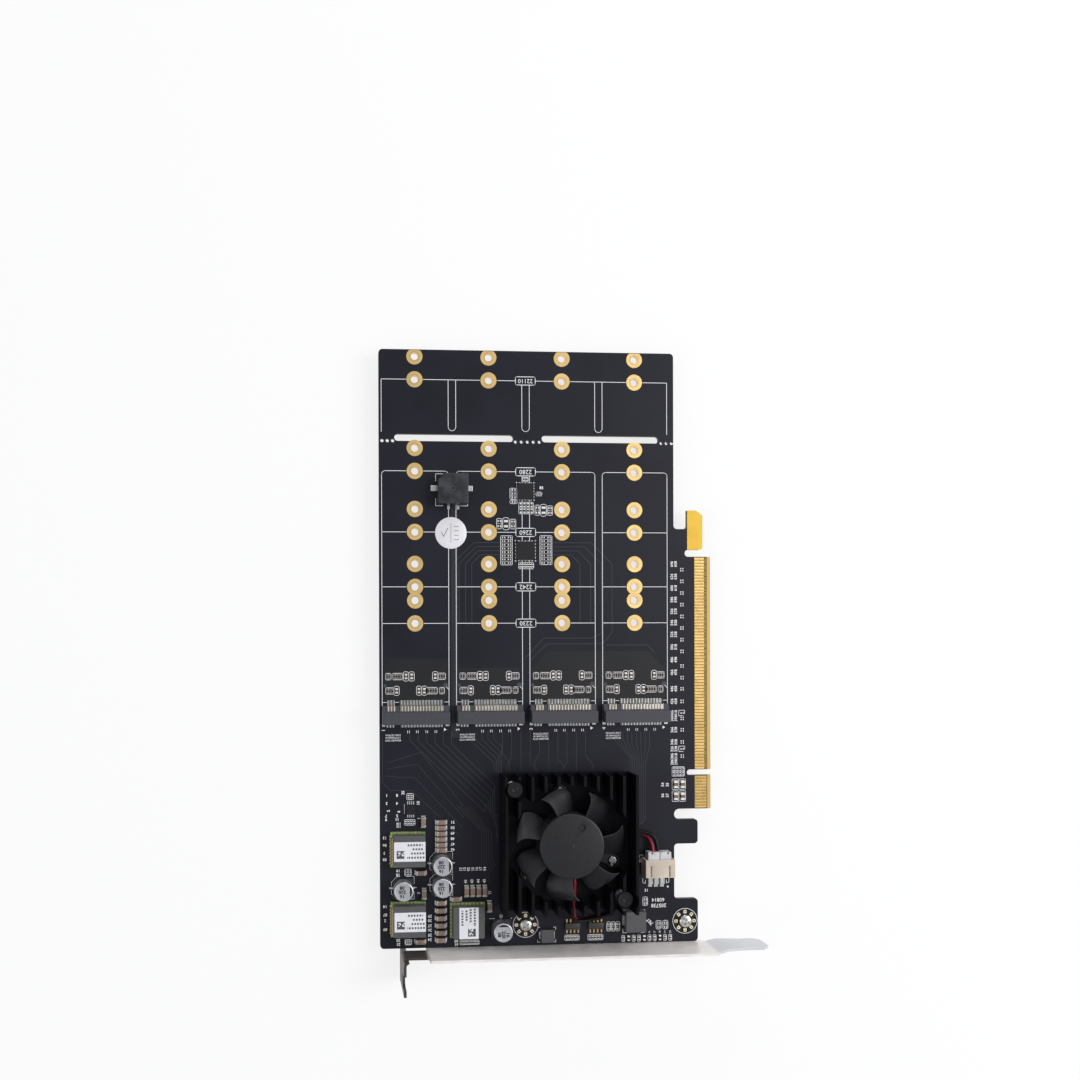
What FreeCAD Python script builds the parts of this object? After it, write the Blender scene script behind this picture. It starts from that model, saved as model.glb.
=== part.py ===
import FreeCAD, Part

import math
import os
import Sketcher

# Adapter card that carries M.2 solid-state drives in a x16 expansion slot, with
# four sockets on the component side and four on the back.
#
# Frame: origin at the middle of the board's thickness, on the finger edge, at the
# centre of the key notch. +X points into the slot, +Y along the card away from the
# bracket, +Z out of the component side. Lengths are millimetres.

Vector = FreeCAD.Vector
doc = FreeCAD.newDocument("m2_adapter_card")

# ---------------------------------------------------------------- driving sizes

DRIVING_SIZES = [
    # printed circuit board
    ("board_thickness", 1.57),
    ("board_height", 111.15),
    ("board_far_end", 139.9),
    ("board_bracket_end", 56.5),
    ("board_corner_radius", 1.3),
    ("shoulder_setback", 12.65),
    ("cutout_corner_radius", 1.2),
    ("tab_setback", 4.6),
    ("tab_length", 8.15),
    ("cutout_length", 18.4),
    # edge connector
    ("fingers_short_end", 12.15),
    ("fingers_long_end", 72.15),
    ("key_width", 1.9),
    ("key_depth", 8.25),
    ("relief_width", 3.5),
    ("edge_bevel_length", 1.3),
    ("edge_bevel_depth", 0.45),
    ("contact_pitch", 1.0),
    ("contact_width", 0.7),
    ("contact_thickness", 0.05),
    ("contact_tail", 5.5),
    ("contact_tip_short", 1.6),
    ("contact_tip_long", 2.3),
    ("contact_first", 1.5),
    ("contacts_short", 11),
    ("contacts_long", 71),
    # retention hook
    ("hook_slot_width", 2.35),
    ("hook_slot_depth", 8.85),
    ("hook_setback", 2.8),
    ("hook_width", 5.2),
    ("hook_length", 13.1),
    ("hook_chamfer_width", 2.2),
    ("hook_chamfer_length", 1.7),
    ("hook_notch_floor", 6.9),
    # break-off line across the card
    ("break_line", 111.05),
    ("break_slot_width", 2.3),
    ("break_slot_edge", 5.1),
    ("break_slot_bridge", 9.45),
    ("break_slot_shoulder", 5.0),
    ("perforation_diameter", 1.1),
    ("perforation_line", 110.0),
    ("perforation_pitch_middle", 2.0),
    ("perforation_pitch_side", 1.75),
    # M.2 positions
    ("column_pitch", 24.47),
    ("column_first", 99.35),
    ("module_datum", 20.09),
    ("rear_offset", 7.52),
    ("standoff_bore", 2.7),
    ("module_length_a", 30),
    ("module_length_b", 42),
    ("module_length_c", 60),
    ("module_length_d", 80),
    ("module_length_e", 110),
    # M.2 socket housing
    ("socket_width", 22.0),
    ("socket_height", 4.2),
    ("socket_back_reach", 2.9),
    ("socket_roof_reach", 1.1),
    ("socket_jaw_reach", 3.1),
    ("socket_jaw_height", 2.2),
    ("socket_lip_drop", 0.7),
    ("socket_slot_height", 1.0),
    ("socket_slot_width", 20.1),
    ("socket_slot_depth", 2.0),
    ("socket_key_offset", 6.125),
    ("socket_key_width", 1.1),
    # switch chip and its cooler
    ("fan_centre_x", 50.3),
    ("fan_centre_y", 21.4),
    ("chip_side", 25.0),
    ("chip_height", 2.3),
    ("pad_thickness", 0.2),
    ("pad_side", 23.0),
    ("heatsink_width", 43.4),
    ("heatsink_length", 44.8),
    ("heatsink_height", 11.0),
    ("heatsink_base", 2.0),
    ("fin_thickness", 1.0),
    ("fin_count", 11),
    ("recess_radius", 19.5),
    ("pin_offset", 18.0),
    ("pin_clearing_radius", 3.6),
    ("pin_hole_radius", 1.6),
    ("pin_shank_radius", 1.4),
    ("pin_head_radius", 2.5),
    ("pin_head_height", 1.2),
    ("pin_head_rise", 5.0),
    ("pin_leg_gap", 0.5),
    ("pin_leg_reach", 1.05),
    ("pin_leg_width", 2.2),
    ("pin_barb_radius", 2.0),
    ("pin_barb_length", 2.2),
    # fan
    ("fan_base_radius", 10.0),
    ("fan_base_thickness", 0.9),
    ("fan_ear_circle", 16.6),
    ("fan_ear_radius", 2.2),
    ("fan_screw_radius", 0.8),
    ("fan_screw_head_radius", 1.65),
    ("fan_screw_head_height", 0.8),
    ("fan_screw_length", 2.0),
    ("fan_terminal_width", 3.4),
    ("fan_terminal_shift", 1.85),
    ("fan_terminal_length", 2.0),
    ("fan_terminal_height", 1.8),
    ("bush_radius", 2.6),
    ("shaft_radius", 1.0),
    ("shaft_clearance", 0.05),
    ("stator_radius", 8.0),
    ("stator_height", 3.0),
    ("magnet_thickness", 0.8),
    ("hub_radius", 10.5),
    ("hub_wall", 1.1),
    ("hub_height", 7.4),
    ("hub_gap", 0.6),
    ("hub_rim_radius", 0.4),
    ("hub_dimple_radius", 1.25),
    ("hub_dimple_x", 3.5),
    ("hub_dimple_y", 5.8),
    ("blade_tip_radius", 17.9),
    ("blade_count", 7),
    ("blade_thickness", 0.7),
    ("blade_rise", 5.6),
    ("blade_camber", 0.12),
    ("blade_sweep_deg", 35.0),
    ("blade_lead_deg", 21.2),
    ("blade_rake_deg", 6.0),
    # bracket
    ("bracket_gap", 0.1),
    ("sheet_thickness", 0.86),
    ("bracket_width", 18.42),
    ("bracket_rise", 14.5),
    ("bracket_flange_x", 104.4),
    ("bracket_wide_start", 96.0),
    ("bracket_wide_end", 2.4),
    ("bracket_tip_x", 15.6),
    ("flange_length", 11.43),
    ("bend_radius", 1.0),
    ("neck_low", 2.9),
    ("neck_high", 10.6),
    ("flange_notch_radius", 2.21),
    ("flange_notch_reach", 6.35),
    ("flange_notch_depth", 4.6),
    ("tongue_low", 2.2),
    ("tongue_high", 12.4),
    ("tongue_shoulder", 11.0),
    ("tongue_tip_chamfer", 2.0),
    ("joggle", 0.9),
    ("joggle_length", 3.5),
    ("tab_width", 9.0),
    ("tab_reach", 10.2),
    ("bracket_screw_y", 49.7),
    ("bracket_screw_far_x", 63.0),
    ("bracket_screw_near_x", 9.0),
    ("bracket_screw_radius", 1.4),
    ("bracket_screw_hole_radius", 1.6),
    ("bracket_screw_head_radius", 2.1),
    ("bracket_screw_head_height", 1.3),
    ("bracket_screw_recess", 0.7),
    # buzzer and labels
    ("buzzer_x", 87.2),
    ("buzzer_y", 93.9),
    ("buzzer_side", 9.9),
    ("buzzer_height", 5.0),
    ("buzzer_chamfer", 2.0),
    ("buzzer_port_radius", 1.0),
    ("label_thickness", 0.1),
    # power modules
    ("module_board_side", 11.5),
    ("module_board_thickness", 1.2),
    ("module_core_side", 10.2),
    ("module_core_height", 3.6),
    ("module_core_shift", 0.35),
    ("module_label_width", 6.3),
    # capacitors, inductors and resistors
    ("can_radius", 3.15),
    ("can_height", 5.8),
    ("can_groove_radius", 2.95),
    ("can_foot_side", 6.6),
    ("can_foot_height", 1.1),
    ("can_foot_chamfer", 1.4),
    ("chip_part_length", 3.2),
    ("chip_part_width", 1.6),
    ("chip_part_height", 1.5),
    ("inductor_side", 6.8),
    ("inductor_height", 3.0),
    ("small_inductor_side", 4.3),
    ("small_inductor_height", 2.0),
    # integrated circuits
    ("package_height", 1.0),
    ("terminal_thickness", 0.2),
    ("array_length", 5.0),
    ("array_width", 2.9),
    # fan connector and leads
    ("header_x", 18.95),
    ("header_y", 31.0),
    ("header_width", 9.9),
    ("header_depth", 5.9),
    ("header_height", 5.2),
    ("header_wall", 0.7),
    ("plug_width", 7.7),
    ("plug_reach", 2.4),
    ("plug_height", 3.6),
    ("plug_rise", 0.8),
    ("pin_pitch", 2.0),
    ("pin_shift", 0.5),
    ("header_pin_width", 0.8),
    ("header_pin_reach", 3.2),
    ("lead_radius", 0.6),
]

sheet = doc.addObject("Spreadsheet::Sheet", "Sizes")
for row, (alias, value) in enumerate(DRIVING_SIZES, start=1):
    sheet.set(f"A{row}", alias)
    sheet.set(f"B{row}", str(value))
    sheet.setAlias(f"B{row}", alias)
doc.recompute()


class Size:
    """A size that keeps its sheet formula beside its number, so that features can be bound to it."""

    def __init__(self, value, formula=None):
        self.value = float(value)
        self.formula = formula if formula else repr(float(value))

    def _join(self, sign, other, result, swap=False):
        other = other if isinstance(other, Size) else Size(other)
        left, right = (other, self) if swap else (self, other)
        return Size(result, f"({left.formula} {sign} {right.formula})")

    def __add__(self, other):
        return self._join("+", other, self.value + float(other))

    def __radd__(self, other):
        return self._join("+", other, self.value + float(other), swap=True)

    def __sub__(self, other):
        return self._join("-", other, self.value - float(other))

    def __rsub__(self, other):
        return self._join("-", other, float(other) - self.value, swap=True)

    def __mul__(self, other):
        return self._join("*", other, self.value * float(other))

    def __rmul__(self, other):
        return self._join("*", other, self.value * float(other), swap=True)

    def __truediv__(self, other):
        return self._join("/", other, self.value / float(other))

    def __neg__(self):
        return Size(-self.value, f"(0 - {self.formula})")

    def __float__(self):
        return self.value


class SheetSizes:
    """The sheet's sizes, each read by its alias."""

    def __getattr__(self, alias):
        return Size(sheet.get(alias), f"Sizes.{alias}")


S = SheetSizes()
ZERO = Size(0)

# Levels that several pieces share
TOP = S.board_thickness / 2
BACK = -TOP
CHIP_TOP = TOP + S.chip_height
SINK_SEAT = CHIP_TOP + S.pad_thickness
SINK_FLOOR = SINK_SEAT + S.heatsink_base
SINK_TOP = SINK_SEAT + S.heatsink_height
FAN_X = -S.fan_centre_x
FAN_Y = -S.fan_centre_y
SHOULDER = -S.shoulder_setback
BRACKET_INNER = -S.board_bracket_end - S.bracket_gap
BRACKET_OUTER = BRACKET_INNER - S.sheet_thickness
BRACKET_LOW = S.bracket_rise - S.bracket_width

# -------------------------------------------------------------- modelling helpers


def bind(obj, path, size):
    """Tie a property of a document object to the sheet."""
    size = size if isinstance(size, Size) else Size(size)
    obj.setExpression(path, size.formula)


def place(obj, x=0, y=0, z=0):
    """Tie an object's position to the sheet."""
    for axis, size in zip("xyz", (x, y, z)):
        bind(obj, f"Placement.Base.{axis}", size)


def new_body(label):
    body = doc.addObject("PartDesign::Body", label)
    body.Label = label
    body.AllowCompound = True
    return body


def origin_feature(body, role):
    return [item for item in body.Origin.OriginFeatures if item.Role == role][0]


def new_sketch(body, role="XY_Plane", level=ZERO):
    """A sketch on one of the body's own planes, lifted along the plane's normal."""
    sketch = body.newObject("Sketcher::SketchObject", f"{body.Name}_sketch")
    sketch.AttachmentSupport = (origin_feature(body, role), [""])
    sketch.MapMode = "FlatFace"
    bind(sketch, "AttachmentOffset.Base.z", level)
    return sketch


def fix_point(sketch, geometry, point, x=None, y=None):
    """Dimension a point of the sketch from its origin."""
    for kind, size in (("DistanceX", x), ("DistanceY", y)):
        if size is None:
            continue
        size = size if isinstance(size, Size) else Size(size)
        number = sketch.addConstraint(Sketcher.Constraint(kind, -1, 1, geometry, point, float(size)))
        sketch.setExpression(f"Constraints[{number}]", size.formula)


def draw_outline(sketch, corners):
    """A closed outline of straight lines through the given corners."""
    points = [Vector(float(x), float(y), 0) for x, y in corners]
    count = len(points)
    lines = [
        sketch.addGeometry(Part.LineSegment(points[i], points[(i + 1) % count]))
        for i in range(count)
    ]
    upright = []
    level = []
    for i, line in enumerate(lines):
        run = points[(i + 1) % count] - points[i]
        upright.append(abs(run.x) < 1e-9)
        level.append(abs(run.y) < 1e-9)
        sketch.addConstraint(Sketcher.Constraint("Coincident", line, 2, lines[(i + 1) % count], 1))
        if upright[i]:
            sketch.addConstraint(Sketcher.Constraint("Vertical", line))
        elif level[i]:
            sketch.addConstraint(Sketcher.Constraint("Horizontal", line))
    for i, (x, y) in enumerate(corners):
        fix_point(sketch, lines[i], 1, None if upright[i - 1] else x, None if level[i - 1] else y)


def draw_rectangle(sketch, x_low, x_high, y_low, y_high):
    draw_outline(sketch, [(x_low, y_low), (x_high, y_low), (x_high, y_high), (x_low, y_high)])


def draw_circle(sketch, x, y, radius):
    centre = Vector(float(x), float(y), 0)
    circle = sketch.addGeometry(Part.Circle(centre, Vector(0, 0, 1), float(radius)))
    fix_point(sketch, circle, 3, x, y)
    number = sketch.addConstraint(Sketcher.Constraint("Radius", circle, float(radius)))
    bind(sketch, f"Constraints[{number}]", radius)


def draw_slot(sketch, x_low, x_high, y, width):
    """A slot along X with full-round ends, from end to end."""
    radius = width / 2
    low, high, r, cy = (float(v) for v in (x_low + radius, x_high - radius, radius, y))
    axis = Vector(0, 0, 1)
    left = Part.ArcOfCircle(Part.Circle(Vector(low, cy, 0), axis, r), math.pi / 2, 1.5 * math.pi)
    right = Part.ArcOfCircle(Part.Circle(Vector(high, cy, 0), axis, r), -math.pi / 2, math.pi / 2)
    arc_a = sketch.addGeometry(left)
    arc_b = sketch.addGeometry(right)
    foot = sketch.addGeometry(Part.LineSegment(Vector(low, cy - r, 0), Vector(high, cy - r, 0)))
    head = sketch.addGeometry(Part.LineSegment(Vector(high, cy + r, 0), Vector(low, cy + r, 0)))
    for first, end, second, start in (
        (arc_a, 2, foot, 1), (foot, 2, arc_b, 1), (arc_b, 2, head, 1), (head, 2, arc_a, 1)
    ):
        sketch.addConstraint(Sketcher.Constraint("Tangent", first, end, second, start))
    sketch.addConstraint(Sketcher.Constraint("Horizontal", foot))
    fix_point(sketch, arc_a, 3, x_low + radius, y)
    fix_point(sketch, arc_b, 3, x_high - radius)
    number = sketch.addConstraint(Sketcher.Constraint("Radius", arc_a, r))
    bind(sketch, f"Constraints[{number}]", radius)


def pad(body, sketch, length, midplane=False, reverse=False):
    feature = body.newObject("PartDesign::Pad", f"{body.Name}_pad")
    feature.Profile = sketch
    feature.SideType = "Symmetric" if midplane else "One side"
    feature.Reversed = reverse
    bind(feature, "Length", length)
    return feature


def pocket(body, sketch, length=None, midplane=False, reverse=False):
    """A cut of the given length, or right through both ways with no length."""
    feature = body.newObject("PartDesign::Pocket", f"{body.Name}_pocket")
    feature.Profile = sketch
    feature.SideType = "Symmetric" if midplane or length is None else "One side"
    feature.Reversed = reverse
    if length is None:
        feature.Type = "ThroughAll"
    else:
        bind(feature, "Length", length)
    return feature


def repeat(body, feature, role, spacing, count, reverse=False):
    """Copies of a feature in a row along one of the body's axes."""
    pattern = body.newObject("PartDesign::LinearPattern", f"{body.Name}_row")
    pattern.Originals = [feature]
    pattern.Direction = (origin_feature(body, role), [""])
    pattern.Mode = "Spacing"
    pattern.Reversed = reverse
    bind(pattern, "Offset", spacing)
    bind(pattern, "Occurrences", count)
    body.Tip = pattern
    return pattern


def revolve(body, sketch, role="Z_Axis"):
    feature = body.newObject("PartDesign::Revolution", f"{body.Name}_revolution")
    feature.Profile = sketch
    feature.ReferenceAxis = (origin_feature(body, role), [""])
    feature.Angle = 360
    return feature


def edges_through(shape, points, direction, reach=0.02):
    """Names of the straight edges that run in a direction through the given points."""
    names = []
    for number, edge in enumerate(shape.Edges, start=1):
        if edge.Curve.TypeId != "Part::GeomLine" or edge.Length < 1e-6:
            continue
        along = edge.Curve.Direction.normalize()
        if abs(abs(along.dot(direction)) - 1) > 1e-6:
            continue
        start = edge.Vertexes[0].Point
        for point in points:
            offset = point - start
            if (offset - along * offset.dot(along)).Length < reach:
                names.append(f"Edge{number}")
                break
    return names


def round_edges(body, points, direction, radius):
    """Fillet the edges that pass through the given points."""
    doc.recompute()
    base = body.Tip
    feature = body.newObject("PartDesign::Fillet", f"{body.Name}_fillet")
    targets = [Vector(*(float(value) for value in point)) for point in points]
    feature.Base = (base, edges_through(base.Shape, targets, direction))
    bind(feature, "Radius", radius)
    return feature


def bevel_edges(body, points, direction, size):
    """Chamfer the edges that pass through the given points."""
    doc.recompute()
    base = body.Tip
    feature = body.newObject("PartDesign::Chamfer", f"{body.Name}_chamfer")
    targets = [Vector(*(float(value) for value in point)) for point in points]
    feature.Base = (base, edges_through(base.Shape, targets, direction))
    bind(feature, "Size", size)
    return feature


def block(body, x_low, x_high, y_low, y_high, bottom, height):
    """A rectangular pad that stands on a level."""
    sketch = new_sketch(body, level=bottom)
    draw_rectangle(sketch, x_low, x_high, y_low, y_high)
    return pad(body, sketch, height)


def centred_block(body, x, y, size_x, size_y, bottom, height):
    return block(body, x - size_x / 2, x + size_x / 2, y - size_y / 2, y + size_y / 2, bottom, height)


def disc(body, x, y, radius, bottom, height):
    sketch = new_sketch(body, level=bottom)
    draw_circle(sketch, x, y, radius)
    return pad(body, sketch, height)


def drill(body, holes, bottom, top, sides):
    """Many-sided holes between two levels. Holes that repeat are given flats instead of a round
    wall, which keeps the board light; the inscribed circle is the drill size."""
    made = []
    for x, y, radius in holes:
        hole = body.newObject("PartDesign::SubtractivePrism", f"{body.Name}_hole")
        hole.Polygon = sides
        hole.Refine = False
        bind(hole, "Circumradius", radius / math.cos(math.pi / sides))
        bind(hole, "Height", top - bottom)
        place(hole, x, y, bottom)
        body.Tip = hole
        made.append(hole)
    return made


def post(body, x, y, radius, bottom, height, sides):
    """A many-sided post whose corners lie on the given radius."""
    prism = body.newObject("PartDesign::AdditivePrism", f"{body.Name}_post")
    prism.Polygon = sides
    bind(prism, "Circumradius", radius)
    bind(prism, "Height", height)
    place(prism, x, y, bottom)
    body.Tip = prism
    return prism


def drill_plate(label, blank, holes, bottom, top):
    """One cut that drills a blank: each hole is x, y, radius and number of sides, or 0 for round."""
    tools = []
    for x, y, radius, sides in holes:
        if sides:
            tool = doc.addObject("Part::Prism", f"{label}_drill")
            tool.Polygon = sides
            bind(tool, "Circumradius", radius / math.cos(math.pi / sides))
        else:
            tool = doc.addObject("Part::Cylinder", f"{label}_drill")
            bind(tool, "Radius", radius)
        bind(tool, "Height", top - bottom)
        place(tool, x, y, bottom)
        tools.append(tool)
    drills = doc.addObject("Part::Compound", f"{label}_drills")
    drills.Links = tools
    cut = doc.addObject("Part::Cut", label)
    cut.Base, cut.Tool = blank, drills
    cut.Label = label
    return cut


def fan_piece(label):
    """A body whose own origin lies on the fan's axis."""
    body = new_body(label)
    place(body, FAN_X, FAN_Y)
    return body


# ------------------------------------------------------------------ circuit board
# Glass-fibre board routed to outline: the finger edge with its key notch and relief
# slots, the retention hook, two tabs at the bracket end, and a break-off line.

UP = Vector(0, 0, 1)
COLUMNS = [-(S.column_first - S.column_pitch * column) for column in range(4)]
MODULE_LENGTHS = [S.module_length_a, S.module_length_b, S.module_length_c, S.module_length_d, S.module_length_e]
STANDOFF_ROWS = [S.module_datum + length for length in MODULE_LENGTHS]
REAR_ROWS = [row + S.rear_offset for row in STANDOFF_ROWS]
HOOK_START = S.fingers_long_end + S.hook_slot_width
HOOK_END = HOOK_START + S.hook_length
HOOK_TIP = -S.hook_setback
HOOK_ROOT = HOOK_TIP - S.hook_width
TAB_START = -S.fingers_short_end - S.relief_width
TAB_END = TAB_START - S.tab_length
CUTOUT_END = TAB_END - S.cutout_length
TAB_X = -S.tab_setback
FAR_X = -S.board_height
BRACKET_SCREWS = [(-S.bracket_screw_far_x, -S.bracket_screw_y), (-S.bracket_screw_near_x, -S.bracket_screw_y)]
PUSH_PINS = [(FAN_X - S.pin_offset, FAN_Y + S.pin_offset), (FAN_X + S.pin_offset, FAN_Y - S.pin_offset)]


def make_circuit_board():
    body = new_body("board_blank")
    outline = new_sketch(body)
    draw_outline(outline, [
        (FAR_X, -S.board_bracket_end),
        (TAB_X, -S.board_bracket_end),
        (TAB_X, CUTOUT_END),
        (SHOULDER, CUTOUT_END),
        (SHOULDER, TAB_END),
        (TAB_X, TAB_END),
        (TAB_X, TAB_START),
        (ZERO, TAB_START),
        (ZERO, HOOK_START),
        (HOOK_TIP, HOOK_START),
        (HOOK_TIP, HOOK_END - S.hook_chamfer_length),
        (HOOK_TIP - S.hook_chamfer_width, HOOK_END),
        (HOOK_ROOT, HOOK_END),
        (HOOK_ROOT, HOOK_START + S.hook_notch_floor),
        (SHOULDER, HOOK_START + S.hook_notch_floor),
        (SHOULDER, S.board_far_end),
        (FAR_X, S.board_far_end),
    ])
    pad(body, outline, S.board_thickness, midplane=True)

    slots = new_sketch(body)
    relief_line = -S.fingers_short_end - S.relief_width / 2
    past_edge = S.relief_width
    draw_slot(slots, SHOULDER, past_edge, relief_line, S.relief_width)
    draw_slot(slots, -S.key_depth, past_edge, ZERO, S.key_width)
    hook_slot_line = S.fingers_long_end + S.hook_slot_width / 2
    draw_slot(slots, -S.hook_slot_depth, past_edge, hook_slot_line, S.hook_slot_width)
    pocket(body, slots)

    break_slots = new_sketch(body)
    middle = (FAR_X + SHOULDER) / 2
    left = FAR_X + S.break_slot_edge
    right = SHOULDER - S.break_slot_shoulder
    draw_slot(break_slots, left, middle - S.break_slot_bridge / 2, S.break_line, S.break_slot_width)
    draw_slot(break_slots, middle + S.break_slot_bridge / 2, right, S.break_line, S.break_slot_width)
    pocket(body, break_slots)

    # The mating edge is bevelled on both faces for its whole length.
    bevel = new_sketch(body, "XZ_Plane")
    past = S.edge_bevel_depth
    slope = S.edge_bevel_depth * past / S.edge_bevel_length
    for side in (1, -1):
        draw_outline(bevel, [
            (-S.edge_bevel_length, TOP * side),
            (past, (TOP - S.edge_bevel_depth - slope) * side),
            (past, (TOP + past) * side),
            (-S.edge_bevel_length, (TOP + past) * side),
        ])
    pocket(body, bevel)

    round_edges(body, [
        (FAR_X, -S.board_bracket_end, 0), (TAB_X, -S.board_bracket_end, 0),
        (FAR_X, S.board_far_end, 0), (SHOULDER, S.board_far_end, 0),
    ], UP, S.board_corner_radius)
    round_edges(body, [
        (TAB_X, CUTOUT_END, 0), (SHOULDER, CUTOUT_END, 0), (SHOULDER, TAB_END, 0),
        (TAB_X, TAB_END, 0), (TAB_X, TAB_START, 0), (HOOK_TIP, HOOK_START, 0),
        (HOOK_ROOT, HOOK_START + S.hook_notch_floor, 0),
        (SHOULDER, HOOK_START + S.hook_notch_floor, 0),
    ], UP, S.cutout_corner_radius)

    # Standoff holes of the four columns, front rows and rear rows. The rows for the usual
    # 80 mm drives are drilled round; the spare rows for other lengths have eight flats.
    holes = []
    for row in STANDOFF_ROWS + REAR_ROWS:
        sides = 0 if row in (STANDOFF_ROWS[3], REAR_ROWS[3]) else 8
        holes += [(column, row, S.standoff_bore / 2, sides) for column in COLUMNS]
    # Perforations of the break line: five in the middle and three at each end.
    reach = S.perforation_diameter / 2
    for step in range(5):
        x = middle + S.perforation_pitch_middle * (step - 2)
        holes.append((x, S.perforation_line, reach, 6))
    for step in range(3):
        inset = S.perforation_pitch_side * step
        holes.append((FAR_X + reach * 2 + inset, S.perforation_line, reach, 6))
        holes.append((SHOULDER - reach - inset, S.perforation_line, reach, 6))
    holes += [(x, y, S.bracket_screw_hole_radius, 8) for x, y in BRACKET_SCREWS]
    holes += [(x, y, S.pin_hole_radius, 8) for x, y in PUSH_PINS]
    return drill_plate("circuit_board", body, holes, BACK, TOP)


def make_edge_contacts():
    """Gold-plated fingers on both faces, short group and long group."""
    body = new_body("edge_contacts")
    for level, reverse in ((TOP, False), (BACK, True)):
        for side, count, tip in (
            (-1, S.contacts_short, S.contact_tip_short), (1, S.contacts_long, S.contact_tip_long)
        ):
            finger = new_sketch(body, level=level)
            y = S.contact_first * side
            half = S.contact_width / 2
            draw_rectangle(finger, -S.contact_tail, -tip, y - half, y + half)
            first = pad(body, finger, S.contact_thickness, reverse=reverse)
            repeat(body, first, "Y_Axis", S.contact_pitch, count, reverse=side < 0)
    return body


def make_hook_plating():
    """Plated copper on both faces of the retention hook."""
    body = new_body("hook_plating")
    for level, reverse in ((TOP, False), (BACK, True)):
        face = new_sketch(body, level=level)
        draw_outline(face, [
            (HOOK_ROOT, HOOK_START + S.cutout_corner_radius),
            (HOOK_TIP, HOOK_START + S.cutout_corner_radius),
            (HOOK_TIP, HOOK_END - S.hook_chamfer_length),
            (HOOK_TIP - S.hook_chamfer_width, HOOK_END),
            (HOOK_ROOT, HOOK_END),
        ])
        pad(body, face, S.contact_thickness, reverse=reverse)
    return body


# -------------------------------------------------------------------- M.2 sockets


def make_socket(label, column, rear):
    """Moulded socket housing: roof, lower jaw, card slot and the rib of its key."""
    body = new_body(label)
    half = S.socket_width / 2
    jaw_top = S.socket_jaw_height
    slot_top = jaw_top + S.socket_slot_height
    slot_floor = S.socket_roof_reach - S.socket_slot_depth
    profile = new_sketch(body, "YZ_Plane")
    draw_outline(profile, [
        (-S.socket_back_reach, ZERO),
        (S.socket_jaw_reach, ZERO),
        (S.socket_jaw_reach, jaw_top - S.socket_lip_drop),
        (S.socket_roof_reach, jaw_top),
        (S.socket_roof_reach, S.socket_height),
        (-S.socket_back_reach, S.socket_height),
    ])
    pad(body, profile, S.socket_width, midplane=True)

    # The card slot is open to the front, and the key rib divides it.
    rib_low = S.socket_key_offset - S.socket_key_width / 2
    rib_high = S.socket_key_offset + S.socket_key_width / 2
    slot_half = S.socket_slot_width / 2
    for start, end in ((-slot_half, rib_low), (rib_high, slot_half)):
        slot = new_sketch(body, "YZ_Plane", level=start)
        draw_outline(slot, [
            (slot_floor, jaw_top),
            (S.socket_roof_reach, jaw_top),
            (S.socket_roof_reach, slot_top + S.socket_lip_drop / 2),
            (slot_floor, slot_top),
        ])
        pocket(body, slot, end - start, reverse=True)

    if rear:
        body.Placement.Rotation = FreeCAD.Rotation(Vector(0, 1, 0), 180)
        place(body, column, S.module_datum + S.rear_offset, BACK)
    else:
        place(body, column, S.module_datum, TOP)
    return body


# ------------------------------------------------------- switch chip and its cooler


def make_switch_chip():
    body = fan_piece("switch_chip")
    substrate = S.chip_height / 3
    lid_side = S.chip_side * 0.9
    centred_block(body, ZERO, ZERO, S.chip_side, S.chip_side, TOP, substrate)
    centred_block(body, ZERO, ZERO, lid_side, lid_side, TOP + substrate, S.chip_height - substrate)
    return body


def make_thermal_pad():
    body = fan_piece("thermal_pad")
    centred_block(body, ZERO, ZERO, S.pad_side, S.pad_side, CHIP_TOP, S.pad_thickness)
    return body


def make_heatsink():
    """Extruded aluminium with straight fins, bored out to take the fan."""
    body = fan_piece("heatsink")
    fin_height = S.heatsink_height - S.heatsink_base
    half_width = S.heatsink_width / 2
    centred_block(body, ZERO, ZERO, S.heatsink_width, S.heatsink_length, SINK_SEAT, S.heatsink_base)
    first = block(body, -half_width, S.fin_thickness - half_width, -S.heatsink_length / 2,
                  S.heatsink_length / 2, SINK_FLOOR, fin_height)
    spacing = (S.heatsink_width - S.fin_thickness) / (S.fin_count - 1)
    repeat(body, first, "X_Axis", spacing, S.fin_count)
    clearings = new_sketch(body, level=SINK_TOP)
    draw_circle(clearings, ZERO, ZERO, S.recess_radius)
    pocket(body, clearings, fin_height)
    for side in (1, -1):
        clearing = new_sketch(body, level=SINK_TOP)
        draw_circle(clearing, -S.pin_offset * side, S.pin_offset * side, S.pin_clearing_radius)
        pocket(body, clearing, fin_height)
    pins = [(-S.pin_offset * side, S.pin_offset * side, S.pin_hole_radius) for side in (1, -1)]
    drill(body, pins, SINK_SEAT, SINK_FLOOR, 8)
    ears = [(*ear_position(turn), S.fan_screw_radius) for turn in range(3)]
    drill(body, ears, SINK_SEAT, SINK_FLOOR, 6)
    return body


def ear_position(turn):
    """Centre of one of the fan base's three screw ears, about the fan's axis."""
    angle = math.radians(-23 + 120 * turn)
    return S.fan_ear_circle * math.cos(angle), S.fan_ear_circle * math.sin(angle)


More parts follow.
